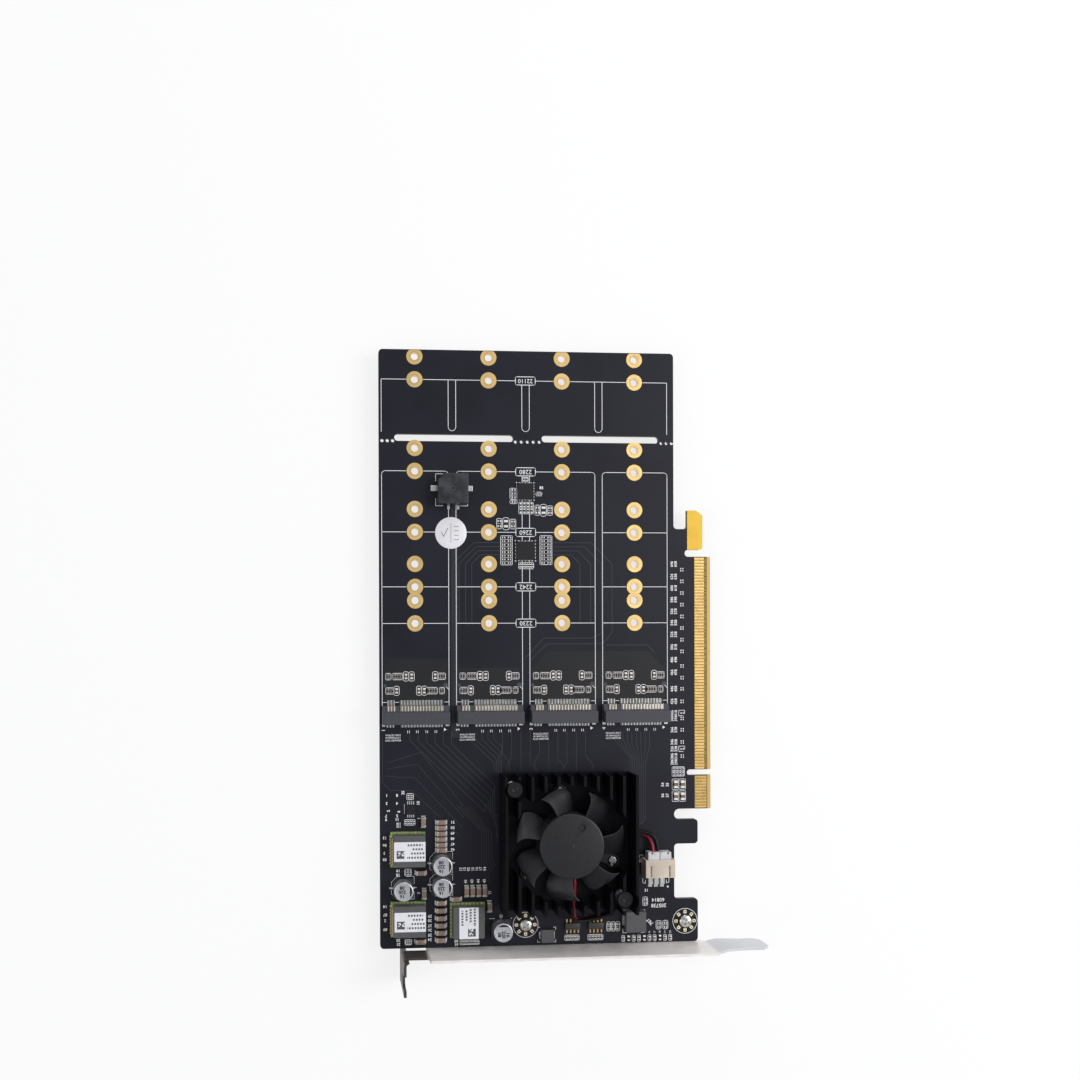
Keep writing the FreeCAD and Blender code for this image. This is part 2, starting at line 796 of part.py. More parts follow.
def make_push_pins():
    """Two nylon push pins: a round head and stem, and split legs that catch under the board."""
    body = new_body("push_pins")
    head_bottom = SINK_FLOOR + S.pin_head_rise
    tip = BACK - S.pin_barb_length
    inner = S.pin_leg_gap / 2
    outer = S.pin_leg_reach
    half = S.pin_leg_width / 2
    for x, y in PUSH_PINS:
        post(body, x, y, S.pin_head_radius, head_bottom, S.pin_head_height, 24)
        post(body, x, y, S.pin_shank_radius, SINK_SEAT, head_bottom - SINK_SEAT, 12)
        for side in (-1, 1):
            legs = new_sketch(body, "XZ_Plane", level=-y - half)
            draw_outline(legs, [
                (x + inner * side, SINK_SEAT),
                (x + outer * side, SINK_SEAT),
                (x + outer * side, BACK),
                (x + S.pin_barb_radius * side, BACK),
                (x + outer * side, tip),
                (x + inner * side, tip),
            ])
            pad(body, legs, S.pin_leg_width)
    return body


# ---------------------------------------------------------------------------- fan
# The base is screwed to the heatsink floor and holds the bush and the stator. The
# impeller, its magnet and its shaft turn together about the fan's axis.

FAN_SEAT = SINK_FLOOR
BASE_TOP = FAN_SEAT + S.fan_base_thickness
HUB_BOTTOM = BASE_TOP + S.hub_gap
HUB_TOP = HUB_BOTTOM + S.hub_height
CUP_CEILING = HUB_TOP - S.hub_wall
BUSH_TOP = CUP_CEILING - S.hub_gap * 2
BORE_RADIUS = S.shaft_radius + S.shaft_clearance
SHAFT_TOP = CUP_CEILING + S.hub_wall / 2
CUP_RADIUS = S.hub_radius - S.hub_wall
MAGNET_INNER = CUP_RADIUS - S.magnet_thickness
TERMINAL_END = -S.fan_base_radius - S.fan_terminal_length


def make_fan_base():
    body = fan_piece("fan_base")
    post(body, ZERO, ZERO, S.fan_base_radius, FAN_SEAT, S.fan_base_thickness, 36)
    for turn in range(3):
        x, y = ear_position(turn)
        post(body, x, y, S.fan_ear_radius, FAN_SEAT, S.fan_base_thickness, 16)
        arm = new_sketch(body, level=FAN_SEAT)
        across = (y / S.fan_ear_circle * S.fan_ear_radius * 0.8, x / S.fan_ear_circle * S.fan_ear_radius * 0.8)
        inner = 0.5
        draw_outline(arm, [
            (x * inner + across[0], y * inner - across[1]),
            (x + across[0], y - across[1]),
            (x - across[0], y + across[1]),
            (x * inner - across[0], y * inner + across[1]),
        ])
        pad(body, arm, S.fan_base_thickness)
    half = S.fan_terminal_width / 2
    left, right = S.fan_terminal_shift - half, S.fan_terminal_shift + half
    clear = -S.hub_radius - S.hub_gap / 2
    block(body, left, right, TERMINAL_END, -S.fan_base_radius * 0.9, FAN_SEAT, S.fan_base_thickness)
    block(body, left, right, TERMINAL_END, clear, FAN_SEAT, S.fan_terminal_height)
    post(body, ZERO, ZERO, S.bush_radius, FAN_SEAT, BUSH_TOP - FAN_SEAT, 12)
    bore = new_sketch(body, level=BUSH_TOP)
    draw_circle(bore, ZERO, ZERO, BORE_RADIUS)
    pocket(body, bore, BUSH_TOP - BASE_TOP)
    ears = [(*ear_position(turn), S.fan_screw_radius) for turn in range(3)]
    drill(body, ears, FAN_SEAT, BASE_TOP, 6)
    return body


def make_fan_screws():
    body = fan_piece("fan_screws")
    for turn in range(3):
        x, y = ear_position(turn)
        post(body, x, y, S.fan_screw_radius, BASE_TOP - S.fan_screw_length, S.fan_screw_length, 6)
        post(body, x, y, S.fan_screw_head_radius, BASE_TOP, S.fan_screw_head_height, 12)
    return body


def make_stator_core():
    """Four-pole stator pressed on the bush."""
    body = fan_piece("stator_core")
    bottom = BASE_TOP + S.hub_gap
    arm = S.bush_radius * 1.3
    foot = S.stator_radius * 0.7
    pole = S.stator_radius * 0.5
    block(body, -foot, foot, -arm, arm, bottom, S.stator_height)
    block(body, -arm, arm, -foot, foot, bottom, S.stator_height)
    block(body, foot, S.stator_radius * 0.86, -pole, pole, bottom, S.stator_height)
    block(body, -S.stator_radius * 0.86, -foot, -pole, pole, bottom, S.stator_height)
    block(body, -pole, pole, foot, S.stator_radius * 0.86, bottom, S.stator_height)
    block(body, -pole, pole, -S.stator_radius * 0.86, -foot, bottom, S.stator_height)
    drill(body, [(ZERO, ZERO, S.bush_radius)], bottom, bottom + S.stator_height, 12)
    return body


def polar_point(radius, degrees):
    angle = math.radians(float(degrees))
    return radius * math.cos(angle), radius * math.sin(angle)


def make_fan_impeller():
    """Moulded hub cup with seven swept, cambered blades that fall away behind their leading edges."""
    body = fan_piece("fan_impeller")
    half_sweep = S.blade_sweep_deg / 2
    tip = S.blade_tip_radius
    root = S.hub_radius
    past = tip + S.hub_wall
    reach = tip * math.sin(math.radians(float(half_sweep))) + S.blade_thickness

    # A cambered band along the blade's radius, from inside the hub to past the tip.
    band = new_sketch(body, "YZ_Plane", level=root - S.hub_wall / 2)
    lead_z = HUB_TOP - S.blade_thickness * 1.5
    trail_z = lead_z - S.blade_rise
    middle_z = (lead_z + trail_z) / 2 - S.blade_rise * S.blade_camber
    thick = S.blade_thickness
    draw_outline(band, [
        (-reach, trail_z), (ZERO, middle_z), (reach, lead_z), (reach, lead_z + thick * 0.6),
        (ZERO, middle_z + thick), (-reach, trail_z + thick),
    ])
    plate = pad(body, band, past - root + S.hub_wall / 2)

    # Both edges of the band are cut to the blade's outline, which is swept back at its root.
    edges = new_sketch(body, level=HUB_TOP)
    for side in (1, -1):
        at_root = polar_point(root - S.hub_wall, half_sweep * side - S.blade_rake_deg)
        at_tip = polar_point(tip, half_sweep * side)
        at_end = polar_point(past * 1.04, half_sweep * side)
        beyond = reach * side * 1.4
        draw_outline(edges, [
            at_root, at_tip, at_end, (at_end[0], beyond), (root - S.hub_wall, beyond),
        ])
    trimmed = pocket(body, edges)
    blades = body.newObject("PartDesign::PolarPattern", "blades")
    blades.Originals = [plate, trimmed]
    blades.Axis = (origin_feature(body, "Z_Axis"), [""])
    blades.Angle = 360
    bind(blades, "Occurrences", S.blade_count)
    body.Tip = blades

    # Everything beyond the tip radius is turned off, so that the blades end on a cylinder.
    trim = new_sketch(body, level=HUB_TOP)
    draw_circle(trim, ZERO, ZERO, S.blade_tip_radius)
    draw_circle(trim, ZERO, ZERO, S.blade_tip_radius * 1.5)
    pocket(body, trim)

    post(body, ZERO, ZERO, S.hub_radius, HUB_BOTTOM, S.hub_height, 48)
    drill(body, [(ZERO, ZERO, CUP_RADIUS)], HUB_BOTTOM, CUP_CEILING, 24)
    # The shaft is moulded into the ceiling of the cup.
    drill(body, [(ZERO, ZERO, S.shaft_radius)], CUP_CEILING, SHAFT_TOP, 12)
    dimple = [(S.hub_dimple_x, S.hub_dimple_y, S.hub_dimple_radius)]
    drill(body, dimple, HUB_TOP - S.hub_wall / 3, HUB_TOP, 12)
    turn_rotor(body)
    return body


def turn_rotor(body):
    """Set the rotor's rest angle, so that the first blade leads at its stated angle."""
    body.Placement.Rotation = FreeCAD.Rotation(UP, float(S.blade_lead_deg - S.blade_sweep_deg / 2))
    place(body, FAN_X, FAN_Y)


def make_rotor_magnet():
    body = fan_piece("rotor_magnet")
    height = S.stator_height + S.hub_gap * 2
    post(body, ZERO, ZERO, CUP_RADIUS / math.cos(math.pi / 24), HUB_BOTTOM, height, 24)
    drill(body, [(ZERO, ZERO, MAGNET_INNER)], HUB_BOTTOM, HUB_BOTTOM + height, 24)
    turn_rotor(body)
    return body


def make_fan_shaft():
    body = fan_piece("fan_shaft")
    bottom = BASE_TOP + S.hub_gap / 2
    disc(body, ZERO, ZERO, S.shaft_radius, bottom, SHAFT_TOP - bottom)
    return body


# ------------------------------------------------------------------------ bracket


def make_bracket():
    """Bent steel strip with its fixing flange, joggled tongue and two tapped tabs."""
    body = new_body("bracket")
    thick = S.sheet_thickness
    flange_x = -S.bracket_flange_x
    tip_x = S.bracket_tip_x
    wide_end = -S.bracket_wide_end
    step = wide_end + S.joggle_length
    profile = new_sketch(body, level=BRACKET_LOW)
    draw_outline(profile, [
        (flange_x, BRACKET_OUTER - S.flange_length + thick),
        (flange_x + thick, BRACKET_OUTER - S.flange_length + thick),
        (flange_x + thick, BRACKET_OUTER),
        (wide_end, BRACKET_OUTER),
        (step, BRACKET_OUTER + S.joggle),
        (tip_x, BRACKET_OUTER + S.joggle),
        (tip_x, BRACKET_INNER + S.joggle),
        (step, BRACKET_INNER + S.joggle),
        (wide_end, BRACKET_INNER),
        (flange_x, BRACKET_INNER),
    ])
    pad(body, profile, S.bracket_width)
    round_edges(body, [(flange_x + thick, BRACKET_OUTER, 0)], UP, S.bend_radius)
    round_edges(body, [(flange_x, BRACKET_INNER, 0)], UP, S.bend_radius + thick)

    # Blank shape of the strip, cut through the sheet from the card's side.
    low, high = BRACKET_LOW - 1, S.bracket_rise + 1
    neck_x = flange_x + thick + S.bend_radius
    tongue_x = wide_end + S.tongue_shoulder
    blank = new_sketch(body, "XZ_Plane", level=-BRACKET_OUTER)
    neck_end = -S.bracket_wide_start
    draw_rectangle(blank, flange_x - 1, neck_end, low, S.neck_low)
    draw_rectangle(blank, flange_x - 1, neck_end, S.neck_high, high)
    draw_outline(blank, [
        (wide_end - S.bracket_gap * 40, low), (tip_x + 1, low), (tip_x + 1, S.tongue_low),
        (tongue_x, S.tongue_low), (wide_end, TOP), (wide_end - S.bracket_gap * 40, BRACKET_LOW),
    ])
    draw_outline(blank, [
        (wide_end, high), (wide_end, S.bracket_rise - S.sheet_thickness), (tongue_x, S.tongue_high),
        (tip_x + 1, S.tongue_high), (tip_x + 1, high),
    ])
    pocket(body, blank, S.joggle * 4)

    # Screw notch of the flange, open to the component side.
    notch = new_sketch(body, "YZ_Plane", level=flange_x - 1)
    notch_y = BRACKET_OUTER - S.flange_notch_reach
    notch_floor = S.bracket_rise - S.flange_notch_depth
    draw_circle(notch, notch_y, notch_floor, S.flange_notch_radius)
    pocket(body, notch, thick + 2, reverse=True)
    mouth = new_sketch(body, "YZ_Plane", level=flange_x - 1)
    draw_rectangle(mouth, notch_y - S.flange_notch_radius, notch_y + S.flange_notch_radius, notch_floor, high)
    pocket(body, mouth, thick + 2, reverse=True)

    # Tabs on the back of the board, tapped for the bracket screws.
    for x, y in BRACKET_SCREWS:
        block(body, x - S.tab_width / 2, x + S.tab_width / 2, BRACKET_INNER - thick / 2,
              BRACKET_INNER + S.tab_reach, BACK - thick, thick)
    drill(body, [(x, y, S.bracket_screw_radius) for x, y in BRACKET_SCREWS], BACK - thick, BACK, 8)
    bevel_edges(body, [(tip_x, 0, S.tongue_low), (tip_x, 0, S.tongue_high)], Vector(0, 1, 0),
                S.tongue_tip_chamfer)
    return body


def make_bracket_screws():
    body = new_body("bracket_screws")
    tip = BACK - S.sheet_thickness
    for x, y in BRACKET_SCREWS:
        post(body, x, y, S.bracket_screw_radius, tip, TOP - tip, 8)
        post(body, x, y, S.bracket_screw_head_radius, TOP, S.bracket_screw_head_height, 24)
        recess = new_sketch(body, level=TOP + S.bracket_screw_head_height)
        draw_rectangle(recess, x - S.bracket_screw_recess, x + S.bracket_screw_recess,
                       y - S.bracket_screw_recess / 3, y + S.bracket_screw_recess / 3)
        pocket(body, recess, S.bracket_screw_recess)
    return body


# ------------------------------------------------------- components on the board


def brick(name, x, y, size_x, size_y, bottom, height):
    """A plain rectangular piece, centred at x, y and standing on a level."""
    box = doc.addObject("Part::Box", name)
    for path, size in (("Length", size_x), ("Width", size_y), ("Height", height)):
        bind(box, path, size)
    place(box, x - size_x / 2, y - size_y / 2, bottom)
    return box


def group(label, pieces):
    """Separate like pieces held as one sub-part."""
    compound = doc.addObject("Part::Compound", label)
    compound.Links = pieces
    compound.Label = label
    return compound


def make_buzzer():
    """Sounder: a moulded case with one chamfered corner and a port in its lid."""
    body = new_body("buzzer")
    half = S.buzzer_side / 2
    case = new_sketch(body, level=TOP)
    draw_outline(case, [
        (-half, -half), (half, -half), (half, half), (S.buzzer_chamfer - half, half),
        (-half, half - S.buzzer_chamfer),
    ])
    pad(body, case, S.buzzer_height)
    lid = TOP + S.buzzer_height
    drill(body, [(ZERO, ZERO, S.buzzer_port_radius)], lid - S.buzzer_height / 3, lid, 12)
    place(body, -S.buzzer_x, S.buzzer_y)
    return body


def make_buzzer_terminals():
    """Two solder tabs beside the case and two pins below it."""
    half = S.buzzer_side / 2
    thick = S.terminal_thickness
    x, y = -S.buzzer_x, S.buzzer_y
    pieces = []
    for name, side in (("tab_left", -1), ("tab_right", 1)):
        pieces.append(brick(name, x + (half + 1) * side, y + 0.5, 2, 1.8, TOP, thick * 2))
    for name, shift in (("pin_left", -1.1), ("pin_right", 2.0)):
        pieces.append(brick(name, x + shift, y - half - 0.7, 0.87, 1.4, TOP, thick * 2))
    return group("buzzer_terminals", pieces)


# Power converter modules: a small board, a ferrite block moulded over it, and a label.
# Each entry is the middle of the small board and the quarter turns of the module.
MODULES = [
    ((-102.07, -23.83), 0),
    ((-102.0, -46.65), 0),
    ((-82.5, -47.33), 1),
]


def make_power_modules():
    made, labels = [], []
    board_top = TOP + S.module_board_thickness
    core_top = board_top + S.module_core_height
    for number, ((x, y), turned) in enumerate(MODULES, start=1):
        carrier = brick(f"module_board_{number}", x, y, S.module_board_side, S.module_board_side,
                        TOP, S.module_board_thickness)
        shift_x, shift_y = (0, -S.module_core_shift / 3) if turned else (S.module_core_shift, 0)
        core = brick(f"module_core_{number}", x + shift_x, y + shift_y, S.module_core_side,
                     S.module_core_side, board_top, S.module_core_height)
        width, depth = S.module_core_side, S.module_label_width
        if turned:
            width, depth = depth, width
        labels.append(brick(f"module_label_{number}", x + shift_x, y + shift_y, width, depth,
                            core_top, S.label_thickness))
        made += [carrier, core]
    return made + [group("module_labels", labels)]


# Surface-mount electrolytic cans.
CANS = [(-91.0, -28.7), (-91.0, -35.75), (-103.7, -36.6), (-71.3, -50.6)]


def make_cans():
    made = []
    foot_top = TOP + S.can_foot_height
    for number, (x, y) in enumerate(CANS, start=1):
        foot = new_body(f"capacitor_base_{number}")
        half = S.can_foot_side / 2
        cut = S.can_foot_chamfer
        outline = new_sketch(foot, level=TOP)
        draw_outline(outline, [
            (-half, -half), (half, -half), (half, half), (cut - half, half), (-half, half - cut),
        ])
        pad(foot, outline, S.can_foot_height)
        place(foot, x, y)
        can = doc.addObject("Part::Prism", f"capacitor_can_{number}")
        can.Polygon = 32
        bind(can, "Circumradius", S.can_radius)
        bind(can, "Height", S.can_height - S.can_foot_height)
        place(can, x, y, foot_top)
        made += [foot, can]
    return made


# Ceramic capacitors: middle of each, and whether it lies along X or along Y.
CERAMICS = (
    [(-91.0, y, "x") for y in (-15.2, -17.05, -18.95, -20.8, -22.6, -24.35)]
    + [(-91.2, y, "x") for y in (-41.7, -44.2, -46.7, -49.1, -51.5, -53.9)]
    + [(x, -38.1, "y") for x in (-82.7, -80.7, -78.65, -76.65)]
    + [(-75.1, -43.3, "y"), (-86.2, -40.6, "x"), (-97.8, -31.7, "x"), (-96.75, -38.7, "y"),
       (-96.9, -15.0, "y"), (-98.05, -54.3, "x")]
)


def make_ceramics():
    bodies = []
    for number, (x, y, along) in enumerate(CERAMICS, start=1):
        sizes = (S.chip_part_length, S.chip_part_width)
        if along == "y":
            sizes = sizes[::-1]
        bodies.append(brick(f"ceramic_{number}", x, y, *sizes, TOP, S.chip_part_height))
    return group("ceramic_capacitors", bodies)


def make_inductors():
    power = brick("power_inductor", -26.5, -49.0, S.inductor_side, S.inductor_side, TOP, S.inductor_height)
    small = brick("small_inductor", -55.9, -53.2, S.small_inductor_side, S.small_inductor_side, TOP,
                  S.small_inductor_height)
    return [power, small]


def make_packages():
    """Flat packages of the clock and control circuits."""
    clock = brick("clock_chip", -62.7, 74.0, 6.0, 6.0, TOP, S.package_height)
    control = brick("control_chip", -62.7, 93.6, 5.3, 5.3, TOP, S.package_height)
    sensor = brick("sensor_chip", -101.1, -11.0, 3.0, 3.0, TOP, S.package_height)
    return [clock, control, sensor]


# Two transistor arrays near the bracket.
ARRAYS = [(-47.3, -50.8), (-39.3, -50.9)]


def make_arrays():
    return group("transistor_arrays", [
        brick("transistor_array", x, y, S.array_length, S.array_width, TOP, S.package_height)
        for x, y in ARRAYS
    ])


# ------------------------------------------------------------ fan header and leads

HEADER_X = -S.header_x
HEADER_Y = -S.header_y
PLUG_BACK = HEADER_Y + S.header_depth / 2 + S.plug_reach
PLUG_Z = TOP + S.plug_rise + S.plug_height / 2
PIN_X = [HEADER_X + S.pin_shift + S.pin_pitch * step for step in (-1, 0, 1)]
LEAD_X = {"red": PIN_X[0], "black": PIN_X[1]}


def make_header():
    """Side-entry header: a box with its mouth toward the far end of the card."""
    body = new_body("fan_header")
    half = S.header_width / 2
    wall = S.header_wall
    mouth = HEADER_Y + S.header_depth / 2
    centred_block(body, HEADER_X, HEADER_Y, S.header_width, S.header_depth, TOP, S.header_height)
    cavity = new_sketch(body, "XZ_Plane", level=-mouth)
    draw_rectangle(cavity, HEADER_X - half + wall, HEADER_X + half - wall, TOP + wall,
                   TOP + S.header_height - wall)
    pocket(body, cavity, S.header_depth - wall * 2, reverse=True)
    relief = new_sketch(body, level=TOP + S.header_height)
    for x in (PIN_X[0], PIN_X[2]):
        draw_rectangle(relief, x - wall / 2, x + wall / 2, mouth - S.header_depth / 2, mouth)
    pocket(body, relief, wall)
    return body


def make_header_pins():
    """Three square pins that turn down to their solder pads behind the header."""
    pieces = []
    back = HEADER_Y - S.header_depth / 2
    width = S.header_pin_width
    for x in PIN_X:
        pieces.append(brick("header_pin", x, back - S.header_pin_reach / 2, width, S.header_pin_reach,
                            TOP, width / 2))
    return group("header_pins", pieces)


def make_plug():
    body = new_body("lead_plug")
    half = S.plug_width / 2
    inner = HEADER_Y + S.header_depth / 2 - (S.header_depth - S.header_wall * 2)
    block(body, HEADER_X - half, HEADER_X + half, inner, PLUG_BACK, TOP + S.plug_rise, S.plug_height)
    bores = new_sketch(body, "XZ_Plane", level=-PLUG_BACK)
    for x in LEAD_X.values():
        half_bore = S.lead_radius
        draw_rectangle(bores, x - half_bore, x + half_bore, PLUG_Z - half_bore, PLUG_Z + half_bore)
    pocket(body, bores, S.plug_reach, reverse=True)
    return body


def make_lead(label, path):
    """A six-sided lead along a path whose corners are eased by short straight runs."""
    points = [Vector(*(float(value) for value in point)) for point in path]
    eased = [points[0]]
    for before, corner, after in zip(points, points[1:], points[2:]):
        into = (corner - before).normalize()
        out = (after - corner).normalize()
        reach = 0.3 * min((corner - before).Length, (after - corner).Length)
        eased += [corner - into * reach, corner + out * reach]
    eased.append(points[-1])
    spine = Part.makePolygon(eased)
    along = (points[1] - points[0]).normalize()
    across = along.cross(UP).normalize()
    rise = across.cross(along)
    ring = []
    for step in range(7):
        angle = math.pi / 6 + step * math.pi / 3
        ring.append(points[0] + (across * math.cos(angle) + rise * math.sin(angle)) * float(S.lead_radius))
    ring[-1] = ring[0]
    sweep = Part.BRepOffsetAPI.MakePipeShell(spine)
    sweep.setTransitionMode(1)
    sweep.add(Part.makePolygon(ring))
    sweep.build()
    sweep.makeSolid()
    lead = doc.addObject("Part::Feature", label)
    lead.Shape = sweep.shape()
    lead.Label = label
    return lead


def make_leads():
    """The fan's two leads: out between two fins, down, back under the heatsink, and round to the plug."""
    radius = S.lead_radius
    low = TOP + radius
    high = low + radius * 2.05
    start_y = FAN_Y + TERMINAL_END
    start_z = FAN_SEAT + S.fan_terminal_height / 2 + radius * 0.2
    edge = FAN_Y - S.heatsink_length / 2
    fin = FAN_X + S.fin_thickness / 2
    inner = fin + radius * 1.15
    outer = inner + radius * 2.15
    corridor = FAN_X + S.heatsink_width / 2 - radius * 2.2
    plug_y = PLUG_BACK - S.plug_reach / 2
    black = [
        (inner, start_y, start_z), (inner, edge - 1.6, start_z), (inner + 1.8, edge - 6.0, high + 1.0),
        (inner + 8.0, edge - 7.0, high + 0.9), (corridor - 1.4, edge - 1.8, high), (corridor, edge + 9.0, high),
        (corridor, edge + 20.6, high), (corridor + 3.6, edge + 24.6, high), (corridor + 8.6, edge + 23.9, high + 0.3),
        (LEAD_X["black"], edge + 20.6, PLUG_Z), (LEAD_X["black"], plug_y, PLUG_Z),
    ]
    red = [
        (outer, start_y, start_z), (outer, edge - 0.8, start_z), (outer + 1.4, edge - 4.6, low + 0.6),
        (outer + 6.4, edge - 5.6, low + 1.05), (corridor - 0.5, edge - 1.4, low), (corridor, edge + 9.0, low),
        (corridor, edge + 20.4, low), (corridor + 3.2, edge + 23.9, low), (corridor + 7.2, edge + 22.8, low + 0.4),
        (LEAD_X["red"], edge + 20.2, PLUG_Z), (LEAD_X["red"], plug_y, PLUG_Z),
    ]
    return [make_lead("red_lead", red), make_lead("black_lead", black)]


# -------------------------------------------------------------- build and export


def build_all():
    made = [make_circuit_board(), make_edge_contacts(), make_hook_plating()]
    for number, column in enumerate(COLUMNS, start=1):
        made.append(make_socket(f"m2_socket_{number}", column, rear=False))
        made.append(make_socket(f"m2_socket_rear_{number}", column, rear=True))
    made += [make_switch_chip(), make_thermal_pad(), make_heatsink(), make_push_pins()]
    made += [make_fan_base(), make_fan_screws(), make_stator_core()]
    made += [make_fan_impeller(), make_rotor_magnet(), make_fan_shaft()]
    made += [make_bracket(), make_bracket_screws()]
    made += [make_buzzer(), make_buzzer_terminals()]
    made += make_power_modules() + make_cans() + [make_ceramics()] + make_inductors()
    made += make_packages() + [make_arrays()]
    made += [make_header(), make_header_pins(), make_plug()] + make_leads()
    return made


sub_parts = build_all()
doc.recompute()

for obj in doc.Objects:
    if "Invalid" in obj.State or "Error" in obj.State:
        raise RuntimeError(f"{obj.Name} did not build: {obj.State}")
os.makedirs("parts", exist_ok=True)
for sub_part in sub_parts:
    shape = sub_part.Shape
    if shape.isNull() or not shape.isValid():
        raise RuntimeError(f"{sub_part.Label} has no valid shape")
    shape.exportStep(f"parts/{sub_part.Label}.step")
    print(f"{sub_part.Label}: {len(shape.Solids)} solids, volume {shape.Volume:.2f}")
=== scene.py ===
import bmesh
import bpy
import math
from mathutils import Matrix, Vector


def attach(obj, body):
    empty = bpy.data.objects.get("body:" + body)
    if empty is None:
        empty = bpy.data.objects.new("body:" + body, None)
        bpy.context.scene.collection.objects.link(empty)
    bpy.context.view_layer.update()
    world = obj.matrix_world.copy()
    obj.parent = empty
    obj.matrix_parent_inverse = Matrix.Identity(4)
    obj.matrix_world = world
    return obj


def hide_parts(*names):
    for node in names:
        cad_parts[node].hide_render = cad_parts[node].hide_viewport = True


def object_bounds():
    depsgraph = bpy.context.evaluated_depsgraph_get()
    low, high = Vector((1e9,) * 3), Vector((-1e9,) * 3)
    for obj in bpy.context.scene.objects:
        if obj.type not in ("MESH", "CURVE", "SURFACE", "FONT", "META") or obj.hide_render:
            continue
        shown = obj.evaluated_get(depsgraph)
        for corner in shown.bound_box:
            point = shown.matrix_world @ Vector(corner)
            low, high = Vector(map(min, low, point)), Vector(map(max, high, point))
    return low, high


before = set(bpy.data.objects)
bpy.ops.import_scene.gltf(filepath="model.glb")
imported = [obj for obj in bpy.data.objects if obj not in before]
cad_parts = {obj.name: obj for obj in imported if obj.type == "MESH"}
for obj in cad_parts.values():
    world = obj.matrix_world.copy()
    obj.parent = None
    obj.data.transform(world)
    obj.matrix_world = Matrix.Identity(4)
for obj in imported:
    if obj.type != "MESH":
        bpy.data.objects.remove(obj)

solid_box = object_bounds()

# ---------------------------------------------------------------- camera
# Stands straight over the component side, level with the middle of the board and
# a little to its left, with the picture shifted so that the card lies low in it.
lens = bpy.data.cameras.new("camera")
lens.lens, lens.sensor_width = 35.6667, 36.0
lens.shift_x, lens.shift_y = 0.121166, 0.085012
lens.clip_start = 0.01
camera = bpy.data.objects.new("camera", lens)
camera.location = (-0.128668, 0.048389, 0.350457)
camera.rotation_euler = [math.radians(a) for a in (-0.15642, -4.46820, -0.17714)]
bpy.context.collection.objects.link(camera)
bpy.context.scene.camera = camera

# ---------------------------------------------------------------- studio light and floor
# A pale even sky, one wide soft box to the right, weaker ones to the left and past the
# far end, and a plain white floor just under the lowest solder side parts.
world = bpy.data.worlds.new("pale_sky")
world.use_nodes = True
world.node_tree.nodes["Background"].inputs["Color"].default_value = (0.96, 0.98, 1.0, 1.0)
world.node_tree.nodes["Background"].inputs["Strength"].default_value = 0.5
bpy.context.scene.world = world
for name, spot, side, power in (
    ("soft_box_right", (0.62, 0.16, 0.62), 0.60, 5.5),
    ("soft_box_left", (-0.72, -0.18, 0.60), 0.50, 1.3),
    ("soft_box_far_end", (-0.05, 0.85, 0.22), 0.40, 1.6),
):
    lamp = bpy.data.lights.new(name, "AREA")
    lamp.shape, lamp.size, lamp.energy = "SQUARE", side, power
    holder = bpy.data.objects.new(name, lamp)
    holder.location = spot
    holder.rotation_euler = (Vector((-0.05, 0.04, 0)) - Vector(spot)).to_track_quat("-Z", "Y").to_euler()
    bpy.context.collection.objects.link(holder)

floor_mesh = bmesh.new()
bmesh.ops.create_grid(floor_mesh, x_segments=1, y_segments=1, size=40.0,
                      matrix=Matrix.Translation((0, 0, solid_box[0].z - 0.0001)))
floor_data = bpy.data.meshes.new("floor")
floor_mesh.to_mesh(floor_data)
floor_mesh.free()
floor = bpy.data.objects.new("floor", floor_data)
bpy.context.collection.objects.link(floor)
paper = bpy.data.materials.new("white_paper")
paper.use_nodes = True
tree = paper.node_tree
surface = tree.nodes["Principled BSDF"]
surface.inputs["Base Color"].default_value = (0.92, 0.92, 0.92, 1)
surface.inputs["Roughness"].default_value = 0.9
surface.inputs["Specular IOR Level"].default_value = 0.1
glow = tree.nodes.new("ShaderNodeEmission")
path = tree.nodes.new("ShaderNodeLightPath")
seen = tree.nodes.new("ShaderNodeMath")
seen.operation = "MAXIMUM"
seen_too = tree.nodes.new("ShaderNodeMath")
seen_too.operation = "MAXIMUM"
share = tree.nodes.new("ShaderNodeMath")
share.operation = "MULTIPLY"
share.inputs[1].default_value = 0.78
blend = tree.nodes.new("ShaderNodeMixShader")
tree.links.new(path.outputs["Is Camera Ray"], seen.inputs[0])
tree.links.new(path.outputs["Is Glossy Ray"], seen.inputs[1])
tree.links.new(seen.outputs[0], seen_too.inputs[0])
tree.links.new(path.outputs["Is Transmission Ray"], seen_too.inputs[1])
tree.links.new(seen_too.outputs[0], share.inputs[0])
tree.links.new(share.outputs[0], blend.inputs[0])
tree.links.new(surface.outputs[0], blend.inputs[1])
tree.links.new(glow.outputs[0], blend.inputs[2])
tree.links.new(blend.outputs[0], tree.nodes["Material Output"].inputs["Surface"])
floor_data.materials.append(paper)

bpy.context.scene.view_settings.view_transform = "Standard"

# ---------------------------------------------------------------- bare board
# Four layer glass epoxy board, 1.57 mm thick, under near black solder mask.
# Its routed edges show the bare laminate, and the mask follows the weave a little.
MM = 0.001
TOP, BACK = 0.785, -0.785

